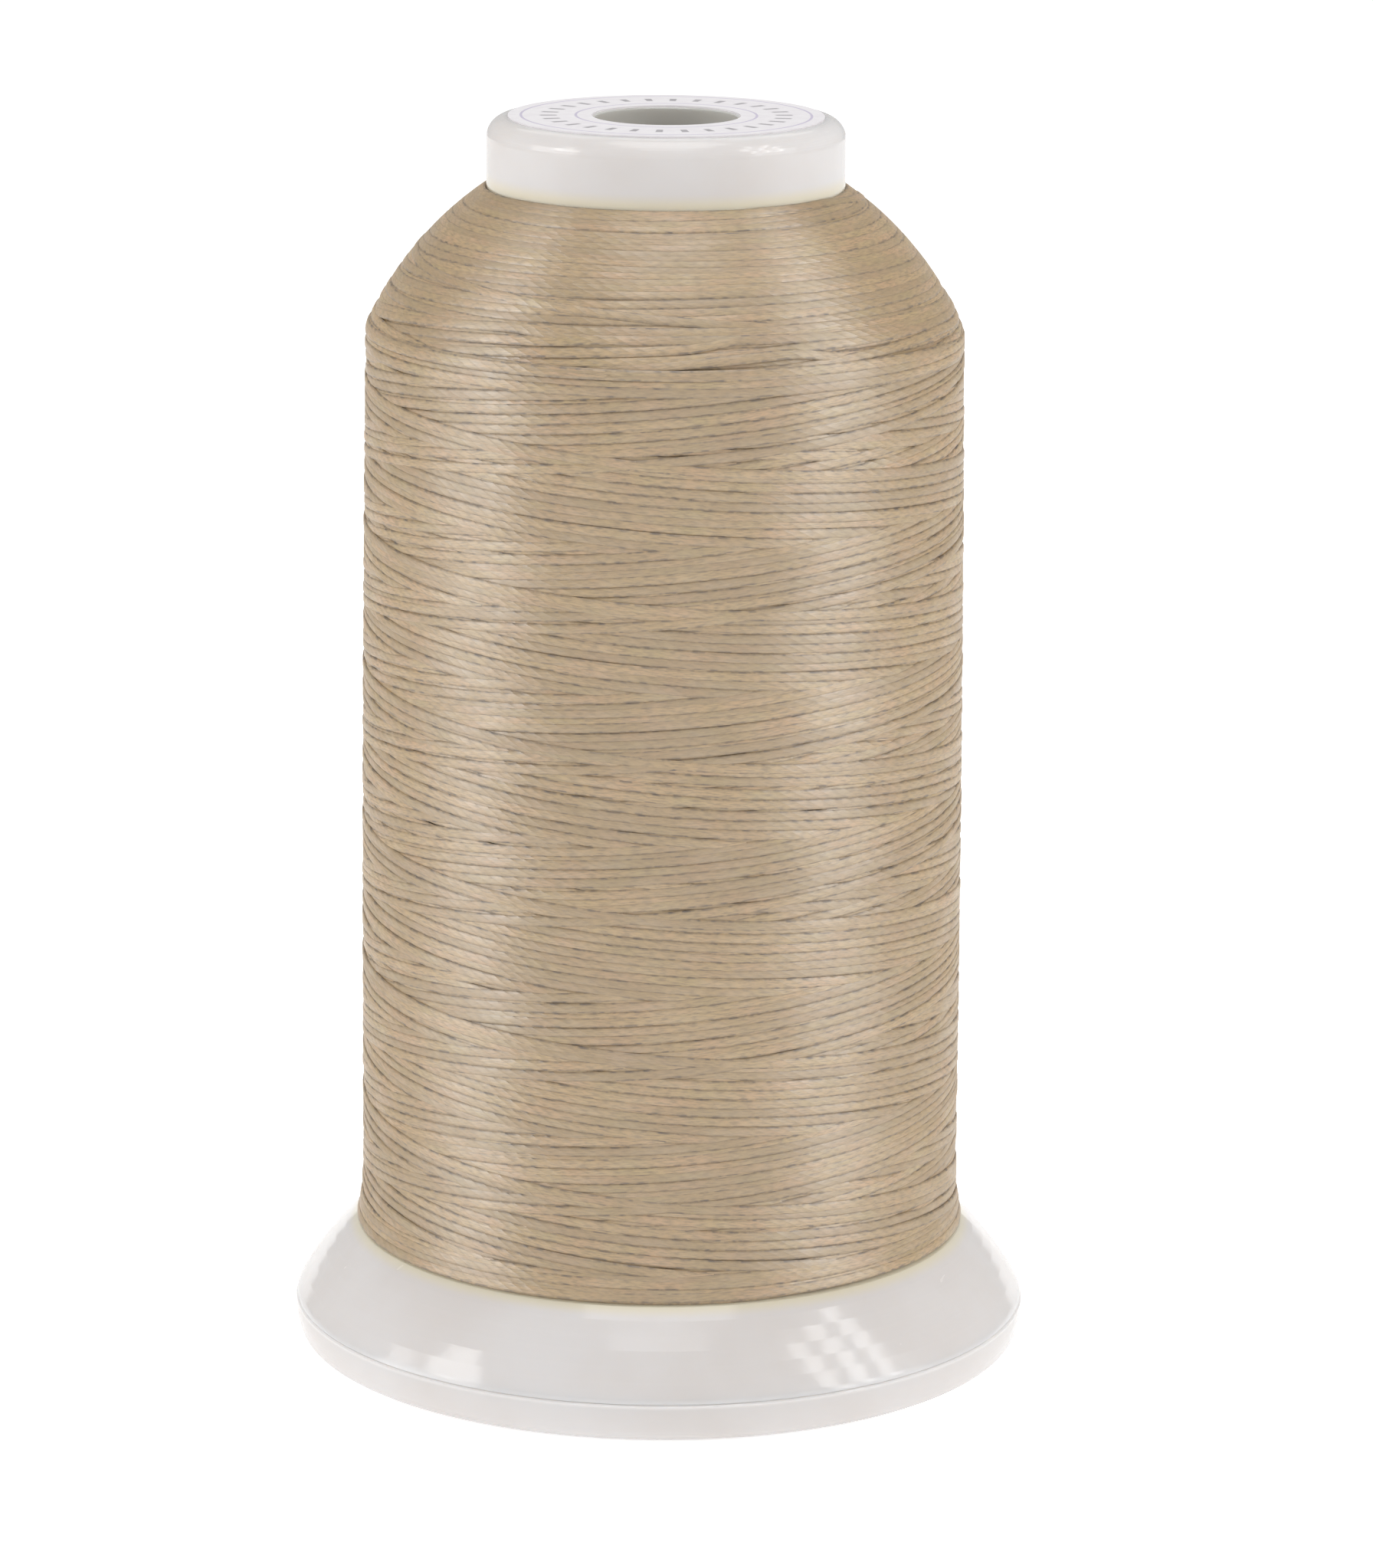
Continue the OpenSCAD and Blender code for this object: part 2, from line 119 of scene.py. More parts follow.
class Wiring:
    """Adds nodes to one node tree and joins them up."""

    def __init__(self, tree: bpy.types.NodeTree) -> None:
        """Starts on a tree, which it empties.

        Args:
            tree: The node tree to build in.
        """
        self.tree = tree
        tree.nodes.clear()

    def feed(self, socket: Socket, value: Feed) -> None:
        """Links a socket, or sets its own value.

        Args:
            socket: The input to feed.
            value: Another node's output, or a plain value.
        """
        if isinstance(value, bpy.types.NodeSocket):
            self.tree.links.new(value, socket)
        elif socket.type == "RGBA" and len(value) == 3:
            socket.default_value = (*value, 1.0)
        else:
            socket.default_value = value

    def node(self, kind: str, feeds: dict[str | int, Feed] | None = None, **settings) -> bpy.types.Node:
        """Adds one node.

        Args:
            kind: Blender's name for the kind of node.
            feeds: What goes into its inputs, by name or by number.
            **settings: The node's own settings.

        Returns:
            The new node.
        """
        made = self.tree.nodes.new(kind)
        for name, value in settings.items():
            setattr(made, name, value)
        for name, value in (feeds or {}).items():
            self.feed(made.inputs[name], value)
        return made

    def sum(self, operation: str, *values: Feed) -> Socket:
        """Adds one step of arithmetic.

        Args:
            operation: The step, such as MULTIPLY or SINE.
            *values: What it works on.

        Returns:
            The result.
        """
        return self.node("ShaderNodeMath", dict(enumerate(values)), operation=operation).outputs[0]

    def rise(self, value: Feed, low: float, high: float) -> Socket:
        """A smooth step from 0 at low to 1 at high, or down again where low is the larger.

        Args:
            value: What is compared.
            low: Where the result is 0.
            high: Where the result is 1.

        Returns:
            The step, from 0 to 1.
        """
        feeds = {"Value": value, "From Min": low, "From Max": high}
        return self.node("ShaderNodeMapRange", feeds, interpolation_type="SMOOTHSTEP").outputs["Result"]

    def span(self, value: Feed, low: float, high: float) -> Socket:
        """Spreads a value from 0 to 1 over a range.

        Args:
            value: A value from 0 to 1.
            low: The result at 0.
            high: The result at 1.

        Returns:
            The value in its range.
        """
        feeds = {"Value": value, "To Min": low, "To Max": high}
        return self.node("ShaderNodeMapRange", feeds).outputs["Result"]

    def blend(self, share: Feed, under: Feed, over: Feed) -> Socket:
        """Mixes two colours.

        Args:
            share: How much of the second shows, from 0 to 1.
            under: The first colour.
            over: The second colour.

        Returns:
            The mixed colour.
        """
        return self.node("ShaderNodeMix", {0: share, 6: under, 7: over}, data_type="RGBA").outputs[2]

    def noise(self, place: Feed, scale: float, detail: float = 2.0) -> Socket:
        """Cloudy noise.

        Args:
            place: Where it is read.
            scale: Clouds per unit of length.
            detail: How many finer octaves it has.

        Returns:
            The noise, from 0 to 1.
        """
        feeds = {"Vector": place, "Scale": scale, "Detail": detail}
        return self.node("ShaderNodeTexNoise", feeds).outputs[0]

    def stretch(self, place: Feed, by: tuple[float, float, float]) -> Socket:
        """Multiplies a place along each axis.

        Args:
            place: The place.
            by: The three factors.

        Returns:
            The stretched place.
        """
        return self.node("ShaderNodeVectorMath", {0: place, 1: by}, operation="MULTIPLY").outputs[0]

    def object_place(self) -> Socket:
        """Where the surface lies, in the piece's own frame."""
        return self.node("ShaderNodeTexCoord").outputs["Object"]

    def axes(self, place: Feed) -> bpy.types.NodeOutputs:
        """The three parts of a place or a direction."""
        return self.node("ShaderNodeSeparateXYZ", {0: place}).outputs

    def radius(self, place: Feed) -> Socket:
        """The distance of a place from the spool's axis."""
        flat = self.stretch(place, (1.0, 1.0, 0.0))
        return self.node("ShaderNodeVectorMath", {0: flat}, operation="LENGTH").outputs["Value"]

    def bump(self, height: Feed, distance: float) -> Socket:
        """Turns a height into a normal.

        Args:
            height: The height, from 0 to 1.
            distance: The real height that 1 stands for, in metres.

        Returns:
            The normal.
        """
        return self.node("ShaderNodeBump", {"Height": height, "Distance": distance}).outputs["Normal"]


class Effect:
    """A surface effect, kept as one node group. An input without a number of its own is a place."""

    title: str = ""
    takes: dict[str, float | None] = {}
    gives: tuple[str, ...] = ()

    def __init__(self) -> None:
        """Builds the effect's node group."""
        self.group = bpy.data.node_groups.new(self.title, "ShaderNodeTree")
        sockets = self.group.interface
        for name, value in self.takes.items():
            if value is None:
                sockets.new_socket(name, in_out="INPUT", socket_type="NodeSocketVector")
            else:
                sockets.new_socket(name, in_out="INPUT", socket_type="NodeSocketFloat").default_value = value
        for name in self.gives:
            sockets.new_socket(name, in_out="OUTPUT", socket_type="NodeSocketFloat")
        wiring = Wiring(self.group)
        start = wiring.node("NodeGroupInput")
        end = wiring.node("NodeGroupOutput")
        for name, result in self.draw(wiring, start.outputs).items():
            wiring.feed(end.inputs[name], result)

    def draw(self, wiring: Wiring, given: bpy.types.NodeOutputs) -> dict[str, Socket]:
        """Wires the inside of the group.

        Args:
            wiring: The group's wiring.
            given: The group's inputs.

        Returns:
            The group's results, by name.
        """
        raise NotImplementedError

    def place(self, wiring: Wiring, **feeds: Feed) -> bpy.types.NodeOutputs:
        """Puts the effect into a material.

        Args:
            wiring: The material's wiring.
            **feeds: What goes into the group's inputs.

        Returns:
            The group's outputs.
        """
        return wiring.node("ShaderNodeGroup", feeds, node_tree=self.group).outputs


class Mottle(Effect):
    """Slow, cloudy variation, as in a moulding's flow or a yarn's dye."""

    title = "mottle"
    takes = {"Place": None, "Size": 0.01}
    gives = ("Clouds", "Grain")
    cloud_detail: float = 3.0
    cloud_edge: Pair = (0.3, 0.7)
    grain_fineness: float = 10.0

    def draw(self, wiring: Wiring, given: bpy.types.NodeOutputs) -> dict[str, Socket]:
        """Wires broad clouds and a much finer grain.

        Args:
            wiring: The group's wiring.
            given: The group's inputs.

        Returns:
            The clouds and the grain, from 0 to 1.
        """
        scale = wiring.sum("DIVIDE", 1.0, given["Size"])
        fine = wiring.sum("MULTIPLY", scale, self.grain_fineness)
        clouds = wiring.noise(given["Place"], scale, self.cloud_detail)
        return {"Clouds": wiring.rise(clouds, *self.cloud_edge), "Grain": wiring.noise(given["Place"], fine)}


class Scuffs(Effect):
    """Short fine scratches in two directions, as handling leaves them."""

    title = "scuffs"
    takes = {"Place": None, "Size": 0.01, "Share": 0.1}
    gives = ("Marks",)
    squeezes: tuple[tuple[float, float, float], ...] = ((1.0, 9.0, 5.0), (8.0, 1.0, 7.0))
    rarest: float = 0.76
    share_effect: float = 0.3
    mark_edge: Pair = (0.0, 0.05)

    def draw(self, wiring: Wiring, given: bpy.types.NodeOutputs) -> dict[str, Socket]:
        """Wires two sets of stretched noise, and keeps only their peaks.

        Args:
            wiring: The group's wiring.
            given: The group's inputs.

        Returns:
            1 on a scratch, and 0 off it.
        """
        scale = wiring.sum("DIVIDE", 1.0, given["Size"])
        sets = [wiring.noise(wiring.stretch(given["Place"], by), scale) for by in self.squeezes]
        peaks = wiring.sum("MAXIMUM", *sets)
        lowered = wiring.sum("MULTIPLY", given["Share"], self.share_effect)
        over = wiring.sum("SUBTRACT", peaks, wiring.sum("SUBTRACT", self.rarest, lowered))
        return {"Marks": wiring.rise(over, *self.mark_edge)}


class Dust(Effect):
    """Fine dust, settled on what faces up."""

    title = "settled_dust"
    takes = {"Place": None, "Share": 0.1}
    gives = ("Cover",)
    slope_edge: Pair = (0.3, 0.95)
    specks_per_metre: float = 900.0
    speck_detail: float = 4.0
    speck_edge: Pair = (0.5, 0.75)
    clouds_per_metre: float = 120.0
    cloud_edge: Pair = (0.35, 0.7)

    def draw(self, wiring: Wiring, given: bpy.types.NodeOutputs) -> dict[str, Socket]:
        """Wires specks over the upward faces.

        Args:
            wiring: The group's wiring.
            given: The group's inputs.

        Returns:
            How much of the surface the dust hides, from 0 to 1.
        """
        normal = wiring.node("ShaderNodeNewGeometry").outputs["Normal"]
        upward = wiring.rise(wiring.axes(normal)[2], *self.slope_edge)
        specks = wiring.noise(given["Place"], self.specks_per_metre, self.speck_detail)
        specks = wiring.rise(specks, *self.speck_edge)
        clouds = wiring.rise(wiring.noise(given["Place"], self.clouds_per_metre), *self.cloud_edge)
        cover = wiring.sum("MULTIPLY", wiring.sum("MULTIPLY", specks, clouds), upward)
        return {"Cover": wiring.sum("MULTIPLY", cover, given["Share"])}


class PlyTwist(Effect):
    """The plies of a twisted thread, read from the way round it and the way along it."""

    title = "ply_twist"
    takes = {"Around": 0.0, "Along": 0.0, "Plies": 3.0}
    gives = ("Crest", "Groove", "Edges", "Flanks", "Side")
    crest_bluntness: float = 0.6
    groove_edge: Pair = (0.95, 0.45)
    soft_edge: Pair = (0.2, 0.95)
    flank_edge: Pair = (0.5, 0.78)
    side_edge: Pair = (-0.1, 0.1)

    def draw(self, wiring: Wiring, given: bpy.types.NodeOutputs) -> dict[str, Socket]:
        """Wires the plies' crests and grooves, the strand's edges and flanks, and which edge is nearer.

        The way round runs from 0 to 0.5 over the outer face of the strand, so that across runs from
        -1 at one of its edges to 1 at the other.

        Args:
            wiring: The group's wiring.
            given: The group's inputs.

        Returns:
            The masks, from 0 to 1.
        """
        grooves = wiring.sum("MULTIPLY_ADD", given["Around"], given["Plies"], given["Along"])
        wave = wiring.sum("SINE", wiring.sum("MULTIPLY", grooves, math.pi))
        crest = wiring.sum("POWER", wiring.sum("ABSOLUTE", wave), self.crest_bluntness)
        across = wiring.sum("MULTIPLY_ADD", given["Around"], 4.0, -1.0)
        aside = wiring.sum("ABSOLUTE", across)
        return {
            "Crest": crest,
            "Groove": wiring.rise(crest, *self.groove_edge),
            "Edges": wiring.rise(aside, *self.soft_edge),
            "Flanks": wiring.rise(aside, *self.flank_edge),
            "Side": wiring.rise(across, *self.side_edge),
        }


@dataclass(frozen=True)
class Effects:
    """The effects, each built once."""

    mottle: Mottle = field(default_factory=Mottle)
    scuffs: Scuffs = field(default_factory=Scuffs)
    dust: Dust = field(default_factory=Dust)
    ply_twist: PlyTwist = field(default_factory=PlyTwist)


# ---- Finishes -------------------------------------------------------------------------------


def blank_material(name: str) -> tuple[bpy.types.Material, Wiring, bpy.types.Node]:
    """Makes a material with one Principled shader.

    Args:
        name: The material's name.

    Returns:
        The material, its wiring and the shader.
    """
    material = bpy.data.materials.new(name)
    material.use_nodes = True
    wiring = Wiring(material.node_tree)
    shader = wiring.node("ShaderNodeBsdfPrincipled")
    wiring.node("ShaderNodeOutputMaterial", {"Surface": shader.outputs[0]})
    return material, wiring, shader


@dataclass(frozen=True)
class MouldedPlastic:
    """Milky white plastic from a polished mould, with a painted highlight along the base's seam and painted
    shade in the bore.
    """

    name: str
    colour: Rgb = screen(218, 215, 214)
    flow_colour: Rgb = screen(213, 208, 205)
    dust_colour: Rgb = screen(200, 193, 184)
    bore_shade_colour: Rgb = screen(203, 200, 193)
    bore_shade_radius: float = 6.3 * MM
    bore_shade_edge: float = 0.2 * MM
    seam_highlight_colour: Rgb = screen(240, 235, 232)
    seam_height: float = 3.36 * MM
    seam_highlight_reach: float = 0.45 * MM
    thread_bleed_colour: Rgb = screen(220, 211, 188)
    thread_bleed_reach: float = 1.3 * MM
    thread_bleed_rings: tuple[tuple[float, float], ...] = ((15.0 * MM, 100.6 * MM), (26.3 * MM, 10.2 * MM))
    roughness: float = 0.11
    flow_roughness: Pair = (0.85, 1.2)
    scuffed_roughness: float = 0.3
    dusty_roughness: float = 0.4
    refraction: float = 1.49
    see_through: float = 0.7
    light_depth: float = 1.6 * MM
    light_reach: Rgb = (1.0, 0.9, 0.8)
    flow_size: float = 14 * MM
    scuff_size: float = 9 * MM
    scuff_share: float = 0.04
    scuff_depth: float = 0.1
    dust_share: float = 0.08
    skin_relief: float = 0.012 * MM

    def thread_bleed(self, wiring: Wiring, radius: Socket, height: Socket) -> Socket:
        """The mask of painted light: a faint tint of the thread's colour bled onto the plastic where thread
        and plastic meet.

        Args:
            wiring: The material's wiring.
            radius: The distance from the axis.
            height: The height above the foot.

        Returns:
            1 where thread and plastic meet, and 0 further off.
        """
        mask: Feed = 0.0
        for ring_radius, ring_height in self.thread_bleed_rings:
            aside = wiring.sum("SUBTRACT", radius, ring_radius)
            above = wiring.sum("SUBTRACT", height, ring_height)
            squares = wiring.sum("MULTIPLY_ADD", aside, aside, wiring.sum("MULTIPLY", above, above))
            ring = wiring.rise(wiring.sum("SQRT", squares), self.thread_bleed_reach, 0.0)
            mask = wiring.sum("MAXIMUM", mask, ring)
        return mask

    def material(self, effects: Effects) -> bpy.types.Material:
        """Builds the plastic's material.

        Args:
            effects: The shared effects.

        Returns:
            The material.
        """
        material, wiring, shader = blank_material(self.name)
        place = wiring.object_place()
        flow = effects.mottle.place(wiring, Place=place, Size=self.flow_size)
        scuffs = effects.scuffs.place(wiring, Place=place, Size=self.scuff_size, Share=self.scuff_share)
        marks = scuffs["Marks"]
        cover = effects.dust.place(wiring, Place=place, Share=self.dust_share)["Cover"]
        radius, height = wiring.radius(place), wiring.axes(place)[2]
        # Painted shade: the colour turns greyer inside the bore, standing in for the shade deep in the hole.
        bore_shade = wiring.rise(radius, self.bore_shade_radius, self.bore_shade_radius - self.bore_shade_edge)
        colour = wiring.blend(flow["Clouds"], self.colour, self.flow_colour)
        # Painted light: the thread's colour bleeding onto the plastic next to it.
        colour = wiring.blend(self.thread_bleed(wiring, radius, height), colour, self.thread_bleed_colour)
        # Painted highlight: the colour turns paler along the base's seam, standing in for light on the seam's
        # edge.
        off_seam = wiring.sum("ABSOLUTE", wiring.sum("SUBTRACT", height, self.seam_height))
        colour = wiring.blend(wiring.rise(off_seam, self.seam_highlight_reach, 0.0), colour, self.seam_highlight_colour)
        colour = wiring.blend(bore_shade, wiring.blend(cover, colour, self.dust_colour), self.bore_shade_colour)
        rough = wiring.span(flow["Clouds"], *(self.roughness * share for share in self.flow_roughness))
        for mask, added in ((marks, self.scuffed_roughness - self.roughness), (cover, self.dusty_roughness)):
            rough = wiring.sum("ADD", rough, wiring.sum("MULTIPLY", mask, added))
        relief = wiring.sum("SUBTRACT", flow["Grain"], wiring.sum("MULTIPLY", marks, self.scuff_depth))
        wiring.feed(shader.inputs["Base Color"], colour)
        wiring.feed(shader.inputs["Roughness"], rough)
        wiring.feed(shader.inputs["Normal"], wiring.bump(relief, self.skin_relief))
        shader.inputs["IOR"].default_value = self.refraction
        shader.inputs["Subsurface Weight"].default_value = self.see_through
        shader.inputs["Subsurface Radius"].default_value = self.light_reach
        shader.inputs["Subsurface Scale"].default_value = self.light_depth
        return material


@dataclass(frozen=True)
class LabelPaper:
    """Coated white paper, printed with a plain scale of ticks between two thin rings."""

    name: str
    colour: Rgb = screen(238, 235, 237)
    fibre_colour: Rgb = screen(229, 225, 228)
    ring_ink: Rgb = screen(196, 188, 208)
    tick_ink: Rgb = screen(160, 156, 160)
    inner_ring: float = 7.6 * MM
    outer_ring: float = 12.2 * MM
    ring_width: float = 0.22 * MM
    ink_blur: float = 0.1
    tick_start: float = 9.2 * MM
    tick_end: float = 10.6 * MM
    tick_count: int = 30
    tick_edge: Pair = (0.55, 0.75)
    fibre_size: float = 1.6 * MM
    relief: float = 0.01 * MM
    roughness: Pair = (0.34, 0.46)
    dust_share: float = 0.1

    def band(self, wiring: Wiring, radius: Socket, middle: float, width: float) -> Socket:
        """A printed ring's mask.

        Args:
            wiring: The material's wiring.
            radius: The distance from the axis.
            middle: The ring's radius.
            width: The ring's width.

        Returns:
            1 on the ring and 0 off it.
        """
        away = wiring.sum("ABSOLUTE", wiring.sum("SUBTRACT", radius, middle))
        return wiring.rise(away, width * (0.5 + self.ink_blur), width * (0.5 - self.ink_blur))

    def material(self, effects: Effects) -> bpy.types.Material:
        """Builds the label's material.

        Args:
            effects: The shared effects.

        Returns:
            The material.
        """
        material, wiring, shader = blank_material(self.name)
        place = wiring.object_place()
        radius, axes = wiring.radius(place), wiring.axes(place)
        angle = wiring.sum("ARCTAN2", axes[1], axes[0])
        fibres = effects.mottle.place(wiring, Place=place, Size=self.fibre_size)
        colour = wiring.blend(fibres["Clouds"], self.colour, self.fibre_colour)
        for middle in (self.inner_ring, self.outer_ring):
            colour = wiring.blend(self.band(wiring, radius, middle, self.ring_width), colour, self.ring_ink)
        beat = wiring.sum("SINE", wiring.sum("MULTIPLY", angle, self.tick_count))
        middle, length = (self.tick_start + self.tick_end) / 2, self.tick_end - self.tick_start
        scale = self.band(wiring, radius, middle, length)
        ticks = wiring.sum("MULTIPLY", wiring.rise(beat, *self.tick_edge), scale)
        colour = wiring.blend(ticks, colour, self.tick_ink)
        cover = effects.dust.place(wiring, Place=place, Share=self.dust_share)["Cover"]
        wiring.feed(shader.inputs["Base Color"], wiring.blend(cover, colour, self.fibre_colour))
        wiring.feed(shader.inputs["Roughness"], wiring.span(fibres["Clouds"], *self.roughness))
        wiring.feed(shader.inputs["Normal"], wiring.bump(fibres["Grain"], self.relief))
        return material


@dataclass(frozen=True)
class WaxedThread:
    """Tan thread of three plies, smoother where wax lies, with painted shade in its ply grooves and towards
    its edges, and dashes of painted shade in the gaps where its flanks stand free.
    """

    name: str
    colour: Rgb = screen(177, 146, 92)
    warm_colour: Rgb = screen(183, 144, 96)
    cool_colour: Rgb = screen(168, 144, 86)
    dark_tone_and_shade_colour: Rgb = screen(137, 110, 65)
    gap_shade_colour: Rgb = screen(76, 53, 17)
    groove_shade_share: float = 0.16
    edge_shade_share: float = 0.2
    plies: int = 3
    ply_length: float = 1.3 * MM
    twist: Twist = Twist.Z
    dye_length: float = 6 * MM
    warm_dye_edge: Pair = (0.42, 0.66)
    cool_dye_edge: Pair = (0.46, 0.26)
    tone_length: float = 30 * MM
    dark_tone_edge: Pair = (0.4, 0.6)
    tone_share: float = 0.5
    fibre_length: float = 0.9 * MM
    fibres_around: float = 14.0
    dark_fibre_edge: Pair = (0.35, 0.75)
    wear_length: float = 5 * MM
    wear_edge: Pair = (0.35, 0.6)
    dash_length: float = 1.3 * MM
    dash_edge: Pair = (0.44, 0.58)
    crest_dash: float = 0.75
    waxed_dash: float = 0.35
    flank_shift: float = 0.37
    roughness: float = 0.52
    wax_roughness: float = 0.42
    silkiness: float = 0.88
    refraction: float = 2.0
    shine: float = 1.0
    ply_relief: float = 0.02 * MM
    fibre_relief: float = 0.025 * MM
    sheen: float = 0.06
    sheen_roughness: float = 0.4

    def dyed(self, wiring: Wiring, lengthwise: Socket) -> Socket:
        """The thread's colour as it changes along its length.

        Args:
            wiring: The material's wiring.
            lengthwise: The place along the thread.

        Returns:
            The colour, before plies and fibres.
        """
        dye = wiring.noise(lengthwise, 1 / self.dye_length)
        colour = wiring.blend(wiring.rise(dye, *self.warm_dye_edge), self.colour, self.warm_colour)
        colour = wiring.blend(wiring.rise(dye, *self.cool_dye_edge), colour, self.cool_colour)
        tone = wiring.noise(lengthwise, 1 / self.tone_length, 1.0)
        shade = wiring.sum("MULTIPLY", wiring.rise(tone, *self.dark_tone_edge), self.tone_share)
        return wiring.blend(shade, colour, self.dark_tone_and_shade_colour)

    def dashes(self, wiring: Wiring, ply: bpy.types.NodeOutputs, along: Socket, worn: Socket) -> Socket:
        """The mask of short dashes of painted shade in the gaps between a strand and the next.

        Args:
            wiring: The material's wiring.
            ply: The plies' masks.
            along: The way along the thread.
            worn: 1 where the wax is worn off, and 0 where it lies.

        Returns:
            1 in a gap, and 0 where the strands touch.
        """
        shifted = wiring.sum("MULTIPLY_ADD", ply["Side"], self.flank_shift, along)
        beside = wiring.node("ShaderNodeCombineXYZ", {0: shifted}).outputs[0]
        broken = wiring.rise(wiring.noise(beside, 1 / self.dash_length), *self.dash_edge)
        parted = wiring.sum("MULTIPLY", broken, wiring.span(ply["Groove"], self.crest_dash, 1.0))
        loose = wiring.sum("MULTIPLY", ply["Flanks"], wiring.span(worn, self.waxed_dash, 1.0))
        return wiring.sum("MULTIPLY", loose, parted)

    def material(self, effects: Effects) -> bpy.types.Material:
        """Builds the thread's material, which reads the map named strand.

        Args:
            effects: The shared effects.

        Returns:
            The material.
        """
        material, wiring, shader = blank_material(self.name)
        strand = wiring.node("ShaderNodeUVMap", uv_map="strand").outputs[0]
        around, along = wiring.axes(strand)[:2]
        turns = wiring.sum("MULTIPLY", along, self.twist.value / self.ply_length)
        ply = effects.ply_twist.place(wiring, Around=around, Along=turns, Plies=float(self.plies))
        lengthwise = wiring.stretch(strand, (0.0, 1.0, 0.0))
        worn = wiring.rise(wiring.noise(lengthwise, 1 / self.wear_length), *self.wear_edge)
        fibres = wiring.noise(wiring.stretch(strand, (self.fibres_around, 1 / self.fibre_length, 0.0)), 1.0)
        colour = self.dyed(wiring, lengthwise)
        # Random darker fibres, then painted shade: darker in the ply grooves and towards the strand's edges.
        shades = (
            wiring.rise(fibres, *self.dark_fibre_edge),
            wiring.span(ply["Crest"], self.groove_shade_share, 0.0),
            wiring.span(ply["Edges"], 0.0, self.edge_shade_share),
        )
        for shade in shades:
            colour = wiring.blend(shade, colour, self.dark_tone_and_shade_colour)
        # Painted shade: dark dashes along the gaps between neighbouring strands.
        colour = wiring.blend(self.dashes(wiring, ply, along, worn), colour, self.gap_shade_colour)
        fuzz = wiring.sum("MULTIPLY", fibres, self.fibre_relief / self.ply_relief)
        height = wiring.sum("ADD", ply["Crest"], fuzz)
        wiring.feed(shader.inputs["Base Color"], colour)
        wiring.feed(shader.inputs["Roughness"], wiring.span(worn, self.wax_roughness, self.roughness))
        wiring.feed(shader.inputs["Normal"], wiring.bump(height, self.ply_relief))
        tangent = wiring.node("ShaderNodeTangent", direction_type="UV_MAP", uv_map="strand").outputs[0]
        wiring.feed(shader.inputs["Tangent"], tangent)
        shader.inputs["Anisotropic"].default_value = self.silkiness
        shader.inputs["IOR"].default_value = self.refraction
        shader.inputs["Specular IOR Level"].default_value = self.shine
        shader.inputs["Sheen Weight"].default_value = self.sheen
        shader.inputs["Sheen Roughness"].default_value = self.sheen_roughness
        return material


@dataclass(frozen=True)
class PaleFloor:
    """A white floor that keeps the spool's shadow and runs out into a white background."""

    name: str = "pale_floor"
    colour: Rgb = (0.86, 0.86, 0.86)
    cloud_colour: Rgb = (0.84, 0.84, 0.84)
    cloud_size: float = 0.2
    roughness: float = 0.9
    shine: float = 0.1
    glow: float = 0.5
    lit: float = 0.38

    def material(self, effects: Effects) -> bpy.types.Material:
        """Builds the floor's material.

        Args:
            effects: The shared effects.

        Returns:
            The material.
        """
        material, wiring, shader = blank_material(self.name)
        clouds = effects.mottle.place(wiring, Place=wiring.object_place(), Size=self.cloud_size)["Clouds"]
        wiring.feed(shader.inputs["Base Color"], wiring.blend(clouds, self.colour, self.cloud_colour))
        shader.inputs["Roughness"].default_value = self.roughness
        shader.inputs["Specular IOR Level"].default_value = self.shine
        seen = wiring.node("ShaderNodeLightPath").outputs["Is Camera Ray"]
        glow = wiring.node("ShaderNodeEmission", {"Strength": wiring.span(seen, self.lit, self.glow)})
        both = wiring.node("ShaderNodeAddShader", {0: shader.outputs[0], 1: glow.outputs[0]})
        output = next(n for n in wiring.tree.nodes if n.type == "OUTPUT_MATERIAL")
        wiring.feed(output.inputs["Surface"], both.outputs[0])
        return material


# ---- Meshes ---------------------------------------------------------------------------------


def grid_mesh(name: str, points: np.ndarray, closed_rings: bool) -> bpy.types.Mesh:
    """Makes a mesh of four-sided faces from rows of points, each row a closed loop.

    Args:
        name: The mesh's name.
        points: Rows of points, in metres, in an array of rows, points and three numbers.
        closed_rings: True if the last row joins the first, and false if both ends get a flat face.

    Returns:
        The mesh, shaded smooth on its sides.
    """
    rows, sides = points.shape[:2]
    links = rows if closed_rings else rows - 1
    row = np.arange(links)[:, None]
    side = np.arange(sides)[None, :]
    here, there = row * sides, (row + 1) % rows * sides
    after = (side + 1) % sides
    quads = np.stack([here + side, here + after, there + after, there + side], -1).reshape(-1)
    ends = [] if closed_rings else [np.arange(sides)[::-1], (rows - 1) * sides + np.arange(sides)]
    corners = np.concatenate([quads, *ends]).astype(np.int32)
    counts = np.concatenate([np.full(links * sides, 4), np.full(len(ends), sides)]).astype(np.int32)
    mesh = bpy.data.meshes.new(name)
    mesh.vertices.add(rows * sides)
    mesh.vertices.foreach_set("co", points.astype(np.float32).ravel())
    mesh.loops.add(len(corners))
    mesh.loops.foreach_set("vertex_index", corners)
    mesh.polygons.add(len(counts))
    mesh.polygons.foreach_set("loop_start", (np.cumsum(counts) - counts).astype(np.int32))
    mesh.polygons.foreach_set("use_smooth", counts == 4)
    mesh.update(calc_edges=True)
    mesh.validate()
    return mesh


def grid_map(mesh: bpy.types.Mesh, name: str, across: np.ndarray, along: np.ndarray) -> None:
    """Gives a mesh from grid_mesh a map.

    Args:
        mesh: The mesh.
        name: The map's name.
        across: For each link and side, the two places across, at the side and after it.
        along: For each link and side, the two places along, at the row and after it.
    """
    (left, right), (near, far) = across, along
    quads = np.stack([left, near, right, near, right, far, left, far], -1).reshape(-1, 2)
    places = np.zeros((len(mesh.loops), 2), np.float32)
    places[: len(quads)] = quads
    mesh.uv_layers.new(name=name).data.foreach_set("uv", places.ravel())


